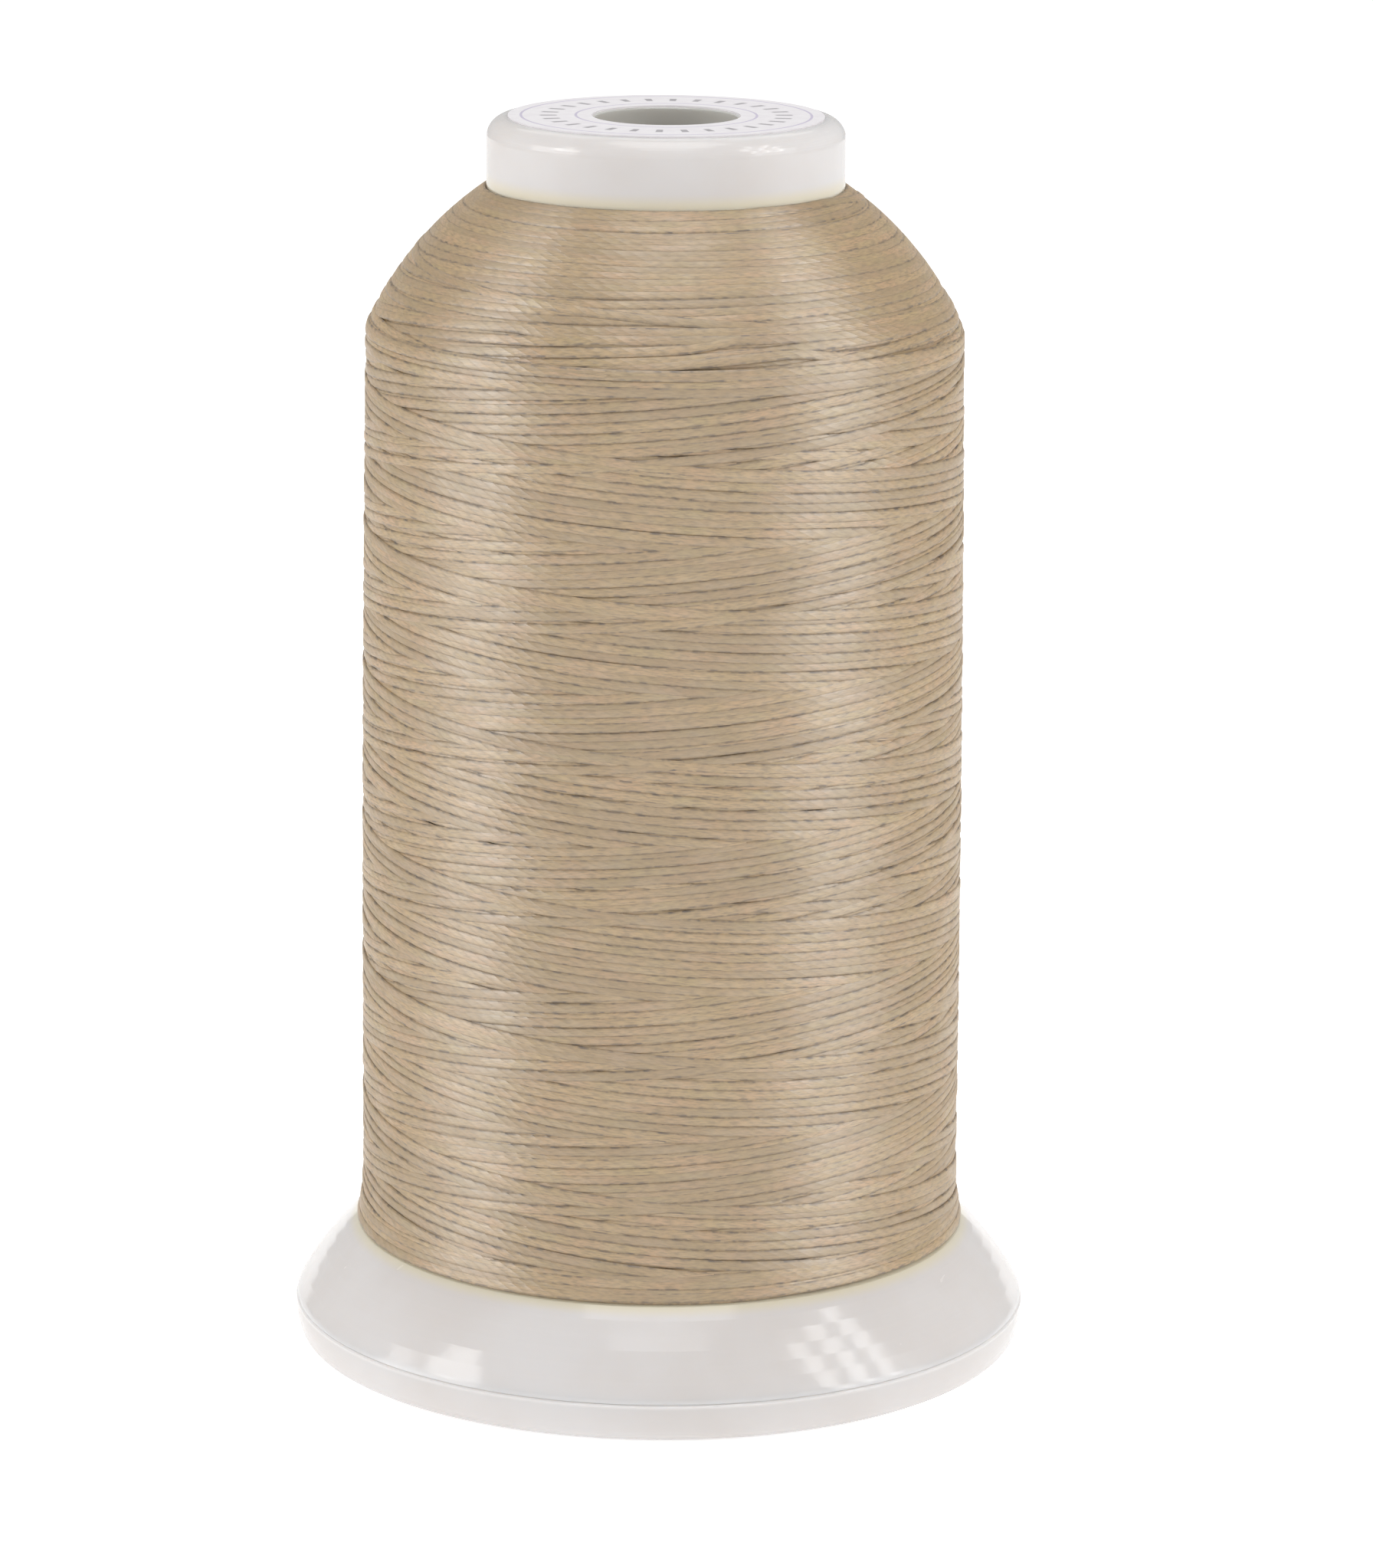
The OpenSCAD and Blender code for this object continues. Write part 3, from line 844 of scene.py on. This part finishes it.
def new_piece(name: str, mesh: bpy.types.Mesh, body: Body) -> bpy.types.Object:
    """Puts a mesh into the scene, on its body.

    Args:
        name: The piece's name.
        mesh: Its mesh, in the spool's own frame.
        body: The body that it rides on.

    Returns:
        The piece.
    """
    piece = bpy.data.objects.new(name, mesh)
    bpy.context.scene.collection.objects.link(piece)
    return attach(piece, body.value)


def dress(piece: bpy.types.Object, material: bpy.types.Material) -> None:
    """Gives every face of a piece one material.

    Args:
        piece: The piece.
        material: The material.
    """
    piece.data.materials.clear()
    piece.data.materials.append(material)


def softened(values: np.ndarray, reach: float) -> np.ndarray:
    """Smooths a row of values with a bell curve.

    Args:
        values: The values.
        reach: The curve's standard deviation, in values.

    Returns:
        As many smoothed values.
    """
    half = int(3 * reach) + 1
    bell = np.exp(-0.5 * (np.arange(-half, half + 1) / reach) ** 2)
    return np.convolve(np.pad(values, half, mode="edge"), bell / bell.sum(), "valid")


# ---- Thread package -------------------------------------------------------------------------


@dataclass
class PackageShape:
    """The outline of the wound package: a long side, a rounded corner and an arched shoulder.

    Lengths are in millimetres.
    """

    foot_radius: float = 25.75
    foot_height: float = 10.16
    shoulder_radius: float = 25.2
    shoulder_height: float = 88.6
    cap_radius: float = 15.1
    cap_height: float = 100.5
    bulge: float = 1.05
    belly: float = 0.17
    flare: float = 0.75
    flare_reach: float = 1.7
    corner_reach: float = 0.4
    overrun: float = 3.0
    step: float = 0.05

    def __post_init__(self) -> None:
        """Works the outline out in small steps, from a little under the foot to a little past the cap."""
        fall, climb = self.foot_radius - self.shoulder_radius, self.shoulder_height - self.foot_height
        inward, upward = self.shoulder_radius - self.cap_radius, self.cap_height - self.shoulder_height
        self.side = math.hypot(fall, climb)
        chord = math.hypot(inward, upward)
        arc_radius = (chord**2 / 4 + self.bulge**2) / (2 * self.bulge)
        sweep = 2 * math.asin(chord / 2 / arc_radius)
        self.length = self.side + arc_radius * sweep
        self.run = np.arange(-self.overrun, self.length + self.overrun, self.step)
        share = np.clip(self.run / self.side, 0, 1)
        swell = 4 * self.belly * share * (1 - share)
        swell += self.flare * np.exp(-share * self.side / self.flare_reach)
        first = math.atan2(inward, upward) - sweep / 2
        angle = first + (self.run - self.side) / arc_radius
        on_side = self.run <= self.side
        side_radius = self.foot_radius - self.run * fall / self.side + swell
        side_height = self.foot_height + self.run * climb / self.side
        arc_r = self.shoulder_radius + arc_radius * (np.cos(angle) - math.cos(first))
        arc_z = self.shoulder_height + arc_radius * (np.sin(angle) - math.sin(first))
        reach = self.corner_reach / self.step
        self.radius = softened(np.where(on_side, side_radius, arc_r), reach)
        self.height = softened(np.where(on_side, side_height, arc_z), reach)
        ahead_r, ahead_z = np.gradient(self.radius), np.gradient(self.height)
        pace = np.hypot(ahead_r, ahead_z)
        self.out_r, self.out_z = ahead_z / pace, -ahead_r / pace

    def at(self, run: np.ndarray) -> tuple[np.ndarray, ...]:
        """Places on the outline.

        Args:
            run: Distances along it from the foot.

        Returns:
            The radius and height of each place, and the outward direction there along both.
        """
        return tuple(np.interp(run, self.run, v) for v in (self.radius, self.height, self.out_r, self.out_z))


@dataclass
class ThreadLay:
    """Winds the thread turn by turn over a map of heights, so that each turn rests on those under it.

    Lengths are in millimetres. A station is one of the equal steps of a turn. A wander holds the
    stations over which a random drift changes and its amount, and level_beat the waves in a turn of
    the first level layer and what each further layer adds.
    """

    shape: PackageShape
    stations: int = 120
    cell: float = 0.07
    half_width: float = 0.385
    half_height: float = 0.09
    rise: float = 12.6
    spacing: dict[Way, float] = field(default_factory=lambda: {Way.UP: 0.77, Way.DOWN: 0.74})
    unevenness: float = 0.2
    strokes: int = 20
    first_phases: dict[Way, float] = field(default_factory=lambda: {Way.UP: 0.0, Way.DOWN: 0.35})
    sway: float = 0.5
    sway_length: float = 37.0
    stroke_wander: Pair = (14, 0.06)
    turning: float = 0.08
    level_layers: int = 2
    level_spacing: float = 0.66
    level_tilt: float = 0.35
    level_beat: Pair = (1.03, 0.02)
    level_wander: Pair = (12, 0.08)
    shoulder_drop: float = 4.0
    foot_climb: float = 4.5
    top_reach: float = 4.0
    top_spread: float = 6.0
    top_scatter: float = 0.45
    slip: float = 0.22
    slip_choices: int = 9
    slip_cost: float = 0.05
    slip_ease: float = 0.03
    slip_reach: float = 5.0
    rest_reach: float = 3.0
    sag: float = 0.02
    sag_stations: int = 2
    taut_share: float = 0.7
    slack_share: float = 0.3
    span_reach: float = 2.0
    sink: float = 0.04
    deepest: float = 1.2
    highest: float = -0.03
    flattened: float = 0.52
    foot_gap: float = 0.5
    foot_slope: float = 0.47
    foot_spread: float = 2.6
    foot_stagger: float = 0.618
    cap_gap: float = 0.45
    cap_slope: float = 0.8
    shortest_rest: float = 0.14
    press_reach: float = 0.7
    press_stations: int = 3
    crest_share: float = 75.0
    run_reach: float = 1.2
    height_reach: float = 1.0
    tail_stations: int = 20
    tail_dive: float = 0.9
    spare_rows: int = 60
    seed: int = 3

    def __post_init__(self) -> None:
        """Starts with a bare core."""
        self.rng = np.random.default_rng(self.seed)
        self.rows = int(self.shape.length / self.cell) + self.spare_rows
        self.surface = np.zeros((self.stations, self.rows))
        reach = int(self.half_width / self.cell)
        self.taps = np.arange(-reach, reach + 1)
        self.crown = self.half_height * np.sqrt(1 - (self.taps * self.cell / self.half_width) ** 2)

    def wander(self, count: int, reach: float, amount: float) -> np.ndarray:
        """Smooth random drift.

        Args:
            count: How many stations it covers.
            reach: Over how many stations it changes.
            amount: Its standard deviation.

        Returns:
            The drift at each station.
        """
        plain = softened(self.rng.normal(size=count), reach)
        # The last factor gives back the deviation that softening takes away.
        return plain * amount * math.sqrt(2 * math.sqrt(math.pi) * reach)

    def level_strokes(self, start: float, end: float) -> list[np.ndarray]:
        """Near-level turns to and fro over one end of the package, a little tilted.

        Args:
            start: Where the first stroke starts, along the outline.
            end: Where it turns back.

        Returns:
            The guide's place at each station of each stroke.
        """
        count = int(abs(end - start) / self.level_spacing * self.stations)
        turns = np.arange(count) / self.stations
        first_beat, more_beat = self.level_beat
        strokes = []
        for layer in range(self.level_layers):
            beat = first_beat + more_beat * layer
            wave = self.level_tilt * np.sin(TURN * (turns * beat + self.rng.random()))
            run = np.linspace(start, end, count)[:: -1 if layer % 2 else 1]
            strokes.append(run + wave + self.wander(count, *self.level_wander))
        return strokes

    def stroke(self, way: Way, phase: float, start: float, end: float, turn: float) -> np.ndarray:
        """One steep stroke, held back at its start until it falls in line with its neighbours.

        Args:
            way: Up or down.
            phase: The share of a turn at which its line, drawn on, would meet the foot.
            start: Where it starts, along the outline.
            end: Where it ends.
            turn: The turn at which the stroke before it ended.

        Returns:
            The guide's place at each station.
        """
        lead = way.value * start / self.rise
        begin = phase + lead + math.ceil(turn + self.shortest_rest - phase - lead)
        rest = np.full(round((begin - turn) * self.stations), start)
        count = round(abs(end - start) / self.rise * self.stations)
        line = np.linspace(start, end, count)
        bend = TURN * line / self.sway_length + way.value
        return np.concatenate([rest, line + self.sway * np.sin(bend)])

    def side_strokes(self, turn: float) -> list[np.ndarray]:
        """Steep strokes up and down the side, each a strand's width from the one before it the same way.

        Args:
            turn: The turn at which they start.

        Returns:
            The strokes.
        """
        strokes = []
        phases = dict(self.first_phases)
        low = self.foot_gap
        for number in range(self.strokes):
            high = self.shape.side + self.top_reach - self.top_spread * number / self.strokes
            high += self.rng.normal() * self.top_scatter
            for way in Way:
                gap = self.spacing[way] * (1 + self.unevenness * self.rng.normal())
                phases[way] += gap / self.rise
                bottom = self.foot_gap + self.foot_spread * (number * self.foot_stagger % 1)
                start, end = (low, high) if way is Way.UP else (high, bottom)
                path = self.stroke(way, phases[way], start, end, turn)
                turn += len(path) / self.stations
                low = bottom
                path = softened(path, self.stations * self.turning)
                strokes.append(path + self.wander(len(path), *self.stroke_wander))
        return strokes

    def cells(self, run: np.ndarray) -> np.ndarray:
        """The map's cells under a strand, in a row for each place along the outline."""
        return np.clip(np.round(run / self.cell).astype(int)[:, None] + self.taps, 0, self.rows - 1)

    def support(self, columns: np.ndarray, run: np.ndarray) -> np.ndarray:
        """Height at which a strand's centre rests.

        Args:
            columns: The station of each point within its turn.
            run: Where each point is along the outline.

        Returns:
            The height of each point above the bare core.
        """
        return (self.surface[columns[:, None], self.cells(run)] + self.crown).max(1)

    def settle(self, columns: np.ndarray, run: np.ndarray) -> np.ndarray:
        """Lets a strand slip sideways into the nearest groove.

        Args:
            columns: The station of each point within its turn.
            run: Where the strand is guided, along the outline.

        Returns:
            Where it comes to lie.
        """
        offsets = np.linspace(-self.slip, self.slip, self.slip_choices)
        rests = np.stack([softened(self.support(columns, run + o), self.rest_reach) for o in offsets], 1)
        cost = rests + self.slip_cost * (offsets / self.slip) ** 2
        weight = np.exp(-(cost - cost.min(1, keepdims=True)) / self.slip_ease)
        return run + softened((weight * offsets).sum(1) / weight.sum(1), self.slip_reach)

    def lay(self, start: int, run: np.ndarray) -> tuple[np.ndarray, np.ndarray]:
        """Lays one stroke on what is already wound.

        Args:
            start: The station at which it starts.
            run: Where the thread is guided, along the outline.

        Returns:
            Where the strand lies along the outline, and its height above the bare core.
        """
        columns = (start + np.arange(len(run))) % self.stations
        run = self.settle(columns, run)
        run = np.clip(run, self.foot_gap, self.shape.length - self.cap_gap)
        height = self.support(columns, run)
        taut = height.copy()
        for step in range(1, self.sag_stations + 1):
            taut[step:] = np.maximum(taut[step:], height[:-step] - self.sag * step)
            taut[:-step] = np.maximum(taut[:-step], height[step:] - self.sag * step)
        height = softened(self.taut_share * taut + self.slack_share * height, self.span_reach) - self.sink
        wide = np.repeat(columns, len(self.taps))
        np.maximum.at(self.surface, (wide, self.cells(run).ravel()), (height[:, None] + self.crown).ravel())
        return run, height

    def wind(self) -> tuple[np.ndarray, np.ndarray]:
        """Winds the whole package.

        Returns:
            At each station, the place along the outline, and the height over the finished outline.
        """
        guides = self.level_strokes(self.shape.length, self.shape.side - self.shoulder_drop)
        high, low = guides[-1][-1], self.foot_gap + self.foot_climb
        guides.append(np.linspace(high, low, int((high - low) / self.rise * self.stations)))
        guides += self.level_strokes(low, self.foot_gap)
        guides += self.side_strokes(sum(map(len, guides)) / self.stations)
        runs, heights, start = [], [], 0
        for guide in guides:
            run, height = self.lay(start, guide)
            runs.append(run)
            heights.append(height)
            start += len(guide)
        run = softened(np.concatenate(runs), self.run_reach)
        over = softened(self.pressed(run, np.concatenate(heights)), self.height_reach)
        over = self.highest + self.flattened * (over - self.highest)
        over = np.clip(over, -self.deepest, self.highest)
        low = self.foot_gap - self.foot_slope * over
        high = self.shape.length - self.cap_gap + self.cap_slope * over
        tail = np.clip(1 - (len(over) - np.arange(len(over))) / self.tail_stations, 0, 1)
        return np.clip(run, low, high), over - self.tail_dive * tail**2

    def broad_surface(self) -> np.ndarray:
        """Smooths the single strands out of the wound surface.

        Returns:
            The height at each station and cell.
        """
        first, last = (round(run / self.cell) for run in (self.foot_gap, self.shape.length - self.cap_gap))
        wound = self.surface[:, first:last]
        along = np.apply_along_axis(softened, 1, wound, self.press_reach / self.cell)
        widest = 3 * self.press_stations
        steps = np.arange(-widest, widest + 1)
        bell = np.exp(-0.5 * (steps / self.press_stations) ** 2)
        broad = sum(w * np.roll(along, step, axis=0) for w, step in zip(bell / bell.sum(), steps))
        return np.pad(broad, ((0, 0), (first, self.rows - last)), mode="edge")

    def pressed(self, run: np.ndarray, height: np.ndarray) -> np.ndarray:
        """Presses the winding's broad unevenness out, as the thread's own pull does.

        Args:
            run: The strand's place along the outline, at each station.
            height: Its height above the bare core.

        Returns:
            Its height over the finished outline.
        """
        broad = self.broad_surface()
        crest = np.percentile((self.surface - broad)[self.surface > 0], self.crest_share)
        columns = np.arange(len(run)) % self.stations
        cell, share = np.divmod(run / self.cell, 1)
        cell = cell.astype(int)
        under = broad[columns, cell] * (1 - share) + broad[columns, cell + 1] * share
        return height - under - crest


@dataclass
class ThreadPackage:
    """The wound thread: one strand in many turns, cut into a few meshes, and the layers under it.

    Lengths are in millimetres.
    """

    shape: PackageShape = field(default_factory=PackageShape)
    finish: WaxedThread = WaxedThread("waxed_thread")
    half_width: float = 0.45
    half_height: float = 0.16
    fullness: float = 0.72
    sides: int = 8
    most_triangles: int = 190_000
    map_rows: int = 180
    map_margin: float = 0.03
    bed_depth: float = 0.5
    bed_margin: float = 1.0
    bed_steps: int = 96
    bed_sides: int = 128
    core_inset: float = 1.5
    core_drop: float = 2.4
    core_climb: float = 5.5
    tail_angle: float = math.radians(80)

    def centre_line(self, lay: ThreadLay) -> tuple[np.ndarray, np.ndarray]:
        """The strand's centre line and outward directions, in metres.

        Args:
            lay: The winding to follow.

        Returns:
            The points, and the outward direction at each.
        """
        run, over = lay.wind()
        radius, height, out_r, out_z = self.shape.at(run)
        radius, height = radius + over * out_r, height + over * out_z
        angle = TURN * (np.arange(len(run)) - len(run)) / lay.stations + self.tail_angle
        points = np.stack([radius * np.cos(angle), radius * np.sin(angle), height], 1) * MM
        outward = np.stack([out_r * np.cos(angle), out_r * np.sin(angle), out_z], 1)
        return points, outward

    def rings(self, points: np.ndarray, outward: np.ndarray) -> np.ndarray:
        """Rings of the strand's flattened section round its centre line.

        Args:
            points: The centre line.
            outward: The outward direction at each point.

        Returns:
            The rings' points, as rows, points and three numbers.
        """
        ahead = np.gradient(points, axis=0)
        ahead /= np.linalg.norm(ahead, axis=1, keepdims=True)
        aside = np.cross(ahead, outward)
        aside /= np.linalg.norm(aside, axis=1, keepdims=True)
        out = np.cross(aside, ahead)
        across, height = self.section()
        wide = (self.half_width * MM * across)[None, :, None] * aside[:, None, :]
        tall = (self.half_height * MM * height)[None, :, None] * out[:, None, :]
        return points[:, None, :] + wide + tall

    def section(self) -> tuple[np.ndarray, np.ndarray]:
        """The points of the flattened section, across and outward, as shares of its half width and height."""
        turn = TURN * (np.arange(self.sides) + 0.5) / self.sides
        return tuple(np.sign(v) * np.abs(v) ** self.fullness for v in (np.cos(turn), np.sin(turn)))

    def build_strand(self) -> list[bpy.types.Object]:
        """Builds the strand as a few closed tubes that meet face to face.

        Returns:
            The pieces, from the first turn to the last.
        """
        lay = ThreadLay(self.shape)
        points, outward = self.centre_line(lay)
        rings = self.rings(points, outward)
        steps = np.linalg.norm(np.diff(points, axis=0), axis=1)
        along = np.concatenate([[0.0], np.cumsum(steps)])
        count = math.ceil(2 * len(rings) * self.sides / self.most_triangles)
        cuts = np.linspace(0, len(rings) - 1, count + 1).astype(int)
        pieces = []
        for number, (first, last) in enumerate(zip(cuts[:-1], cuts[1:])):
            name = f"thread_turns_{number + 1}"
            mesh = grid_mesh(name, rings[first : last + 1], closed_rings=False)
            self.map_strand(mesh, along[first : last + 1])
            pieces.append(new_piece(name, mesh, Body.SPOOL))
        return pieces

    def map_strand(self, mesh: bpy.types.Mesh, along: np.ndarray) -> None:
        """Maps a tube by its own way round and along, and lays it out in rows for baking.

        The way round runs from 0 to 0.5 over the outer face, and on to 1 over the inner one.

        Args:
            mesh: The tube's mesh.
            along: The way along the thread at each ring.
        """
        links = len(along) - 1
        whole = np.ones((links, self.sides))
        aside, height = self.section()
        around = np.where(height > 0, 0.25 - 0.25 * aside, 0.75 + 0.25 * aside)
        across = np.stack([around * whole, np.append(around[1:], 1 + around[0]) * whole])
        near, far = along[:-1, None] * whole, along[1:, None] * whole
        grid_map(mesh, "strand", across, np.stack([near, far]))
        per_row = math.ceil(links / self.map_rows)
        row, column = np.divmod(np.arange(links), per_row)
        side = np.arange(self.sides) * whole
        inside = self.map_margin + (1 - 2 * self.map_margin) * np.stack([side, side + 1]) / self.sides
        up = (row[:, None] + inside) / self.map_rows
        beside = np.stack([column[:, None] * whole, (column[:, None] + 1) * whole]) / per_row
        grid_map(mesh, "OFBake", up, beside)

    def build_bed(self) -> bpy.types.Object:
        """Builds the closed ring of inner turns just under the strands, dark with painted shade.

        Returns:
            The piece.
        """
        run = np.linspace(self.bed_margin, self.shape.length - self.bed_margin, self.bed_steps)
        radius, height, out_r, out_z = self.shape.at(run)
        radius, height = radius - self.bed_depth * out_r, height - self.bed_depth * out_z
        core = self.shape.cap_radius - self.core_inset
        radius = np.concatenate([radius, [core, core]])
        height = np.concatenate([height, [height[-1] - self.core_drop, height[0] + self.core_climb]])
        turn = TURN * np.arange(self.bed_sides) / self.bed_sides
        shares = (np.cos(turn), np.sin(turn), np.ones_like(turn))
        points = np.stack([np.outer(s, v) for s, v in zip(shares, (radius, radius, height))], -1)
        mesh = grid_mesh("thread_bed", points[::-1] * MM, closed_rings=True)
        # The map sets every face past the strand's edge, so the bed takes the thread's painted edge shade and
        # gap-shade dashes all over, as painted shade under the strands.
        size = (self.bed_sides, len(radius))
        side = np.broadcast_to(np.arange(size[1]), size)
        turned = np.broadcast_to(np.arange(size[0])[:, None], size)
        lines = np.stack([side, side + 1])
        arc = np.stack([turned, turned + 1]) * TURN * self.shape.foot_radius * MM / self.bed_sides
        grid_map(mesh, "strand", lines, arc)
        return new_piece("thread_bed", mesh, Body.SPOOL)

    def build(self, effects: Effects) -> list[bpy.types.Object]:
        """Builds and dresses the package in place of the plain solids.

        Args:
            effects: The shared effects.

        Returns:
            The pieces.
        """
        pieces = self.build_strand()
        bed = self.build_bed()
        material = self.finish.material(effects)
        for piece in (*pieces, bed):
            dress(piece, material)
        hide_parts("thread_winding")
        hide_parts("thread_core")
        return [*pieces, bed]


# ---- Mouldings and label --------------------------------------------------------------------


@dataclass
class Mouldings:
    """The barrel, its cap and the snap-in base, which keep their modelled shapes."""

    spool_finish: MouldedPlastic = MouldedPlastic(Slot.SPOOL_PLASTIC.value)
    base_finish: MouldedPlastic = MouldedPlastic(Slot.BASE_PLASTIC.value)

    def build(self, effects: Effects) -> list[bpy.types.Object]:
        """Dresses the mouldings.

        Args:
            effects: The shared effects.

        Returns:
            The pieces.
        """
        finishes = {
            "barrel": self.spool_finish.material(effects),
            "snap_base": self.base_finish.material(effects),
        }
        finishes["top_cap"] = finishes["barrel"]
        for name, material in finishes.items():
            dress(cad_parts[name], material)
        return [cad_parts[name] for name in finishes]


@dataclass
class Label:
    """The thin paper ring on the cap."""

    finish: LabelPaper = LabelPaper(Slot.LABEL_PAPER.value)

    def build(self, effects: Effects) -> list[bpy.types.Object]:
        """Dresses the label.

        Args:
            effects: The shared effects.

        Returns:
            The piece, in a list.
        """
        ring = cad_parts["label_ring"]
        dress(ring, self.finish.material(effects))
        return [ring]


# ---- Studio ---------------------------------------------------------------------------------


@dataclass(frozen=True)
class Softbox:
    """One soft lamp, aimed at the middle of the spool. Angles are in degrees, 0 at the camera's side.

    A lamp behind a louvre shows as upright strips with dark gaps as wide as themselves.
    """

    name: str
    around: float
    height: float
    distance: float
    width: float
    tall: float
    power: float
    turn: float = 0.0
    strips: int = 1

    def build(self, aim: Vector) -> None:
        """Hangs the lamp.

        Args:
            aim: The point that it faces.
        """
        around, height = math.radians(self.around), math.radians(self.height)
        level = math.cos(height)
        way = Vector((math.sin(around) * level, -math.cos(around) * level, math.sin(height)))
        turned = Matrix.Rotation(math.radians(self.turn), 4, "Z")
        facing = way.to_track_quat("Z", "Y").to_matrix().to_4x4() @ turned
        wide = self.width / (2 * self.strips - 1)
        for number in range(self.strips):
            lamp = bpy.data.lights.new(f"{self.name}_{number + 1}", "AREA")
            lamp.shape = "RECTANGLE"
            lamp.size, lamp.size_y = wide, self.tall
            lamp.energy = self.power / self.strips
            aside = Matrix.Translation(((2 * number - self.strips + 1) * wide, 0, 0))
            holder = bpy.data.objects.new(lamp.name, lamp)
            holder.matrix_world = Matrix.Translation(aim + way * self.distance) @ facing @ aside
            bpy.context.scene.collection.objects.link(holder)


@dataclass
class Studio:
    """The camera, the lamps, the floor and the white surroundings."""

    camera_distance: float = 0.5119
    camera_height: float = 0.1738
    camera_aside: float = 0.0021
    pitch: float = 13.74
    roll: float = 0.42
    lens_pixels: float = 7992.5
    frame_height: int = 2046
    sensor: float = 36.0
    sight: Pair = (0.01, 10.0)
    floor_radius: float = 1.2
    floor_sides: int = 96
    floor_levels: Pair = (-2 * MM, -0.02 * MM)
    surround: float = 0.53
    lamps: tuple[Softbox, ...] = (
        Softbox("left_softbox", -71, 28, 1.0, 0.28, 0.28, 1.05, turn=45),
        Softbox("right_softbox", 71, 33, 1.0, 0.4, 0.66, 2.4, strips=3),
        Softbox("left_panel", -77, 13, 1.15, 0.75, 0.5, 2.9),
        Softbox("right_panel", 73, 13, 1.15, 0.75, 0.5, 1.45),
        Softbox("front_softbox", 0, 61, 0.9, 0.4, 0.16, 0.25),
        Softbox("back_softbox", 180, 45, 1.1, 0.9, 0.5, 1.0),
        Softbox("overhead_softbox", 0, 88, 0.9, 0.6, 0.6, 2.2),
    )

    def build_camera(self) -> None:
        """Sets the camera above the height of the cap, tilted down to the spool's middle."""
        camera = bpy.data.cameras.new("camera")
        camera.sensor_fit = "VERTICAL"
        camera.sensor_height = self.sensor
        camera.lens = self.lens_pixels * self.sensor / self.frame_height
        camera.clip_start, camera.clip_end = self.sight
        holder = bpy.data.objects.new("camera", camera)
        place = Matrix.Translation((self.camera_aside, -self.camera_distance, self.camera_height))
        tilt = Matrix.Rotation(math.radians(90 - self.pitch), 4, "X")
        holder.matrix_world = place @ tilt @ Matrix.Rotation(math.radians(self.roll), 4, "Z")
        bpy.context.scene.collection.objects.link(holder)
        bpy.context.scene.camera = holder

    def build_surround(self) -> None:
        """Lights the scene evenly, and shows white behind it."""
        world = bpy.data.worlds.new("surround")
        world.use_nodes = True
        wiring = Wiring(world.node_tree)
        ray = wiring.node("ShaderNodeLightPath").outputs
        seen = wiring.sum("MAXIMUM", ray["Is Camera Ray"], ray["Is Transmission Ray"])
        strength = wiring.span(seen, self.surround, 1.0)
        glow = wiring.node("ShaderNodeBackground", {"Color": (1.0, 1.0, 1.0), "Strength": strength})
        wiring.node("ShaderNodeOutputWorld", {"Surface": glow.outputs[0]})
        bpy.context.scene.world = world

    def build_floor(self, effects: Effects) -> None:
        """Lays the floor under the spool's foot.

        Args:
            effects: The shared effects.
        """
        turn = TURN * np.arange(self.floor_sides) / self.floor_sides
        x, y = self.floor_radius * np.cos(turn), self.floor_radius * np.sin(turn)
        points = np.stack([np.stack([x, y, np.full_like(turn, z)], 1) for z in self.floor_levels])
        floor = bpy.data.objects.new("floor", grid_mesh("floor", points, closed_rings=False))
        bpy.context.scene.collection.objects.link(floor)
        dress(floor, PaleFloor().material(effects))
        floor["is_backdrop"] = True

    def build(self, effects: Effects) -> None:
        """Builds the studio.

        Args:
            effects: The shared effects.
        """
        self.build_camera()
        self.build_surround()
        self.build_floor(effects)
        scene = bpy.context.scene
        scene.view_settings.view_transform = "Standard"
        low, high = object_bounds()
        for lamp in self.lamps:
            lamp.build((low + high) / 2)


def main() -> None:
    """Builds the spool and its studio, and reports each piece."""
    logging.basicConfig(level=logging.INFO, format="%(name)s: %(message)s")
    effects = Effects()
    Studio().build(effects)
    for assembly in (Mouldings(), Label(), ThreadPackage()):
        for piece in assembly.build(effects):
            log.info("%s: %s, %d faces", type(assembly).__name__, piece.name, len(piece.data.polygons))


if __name__ == "__main__":
    main()
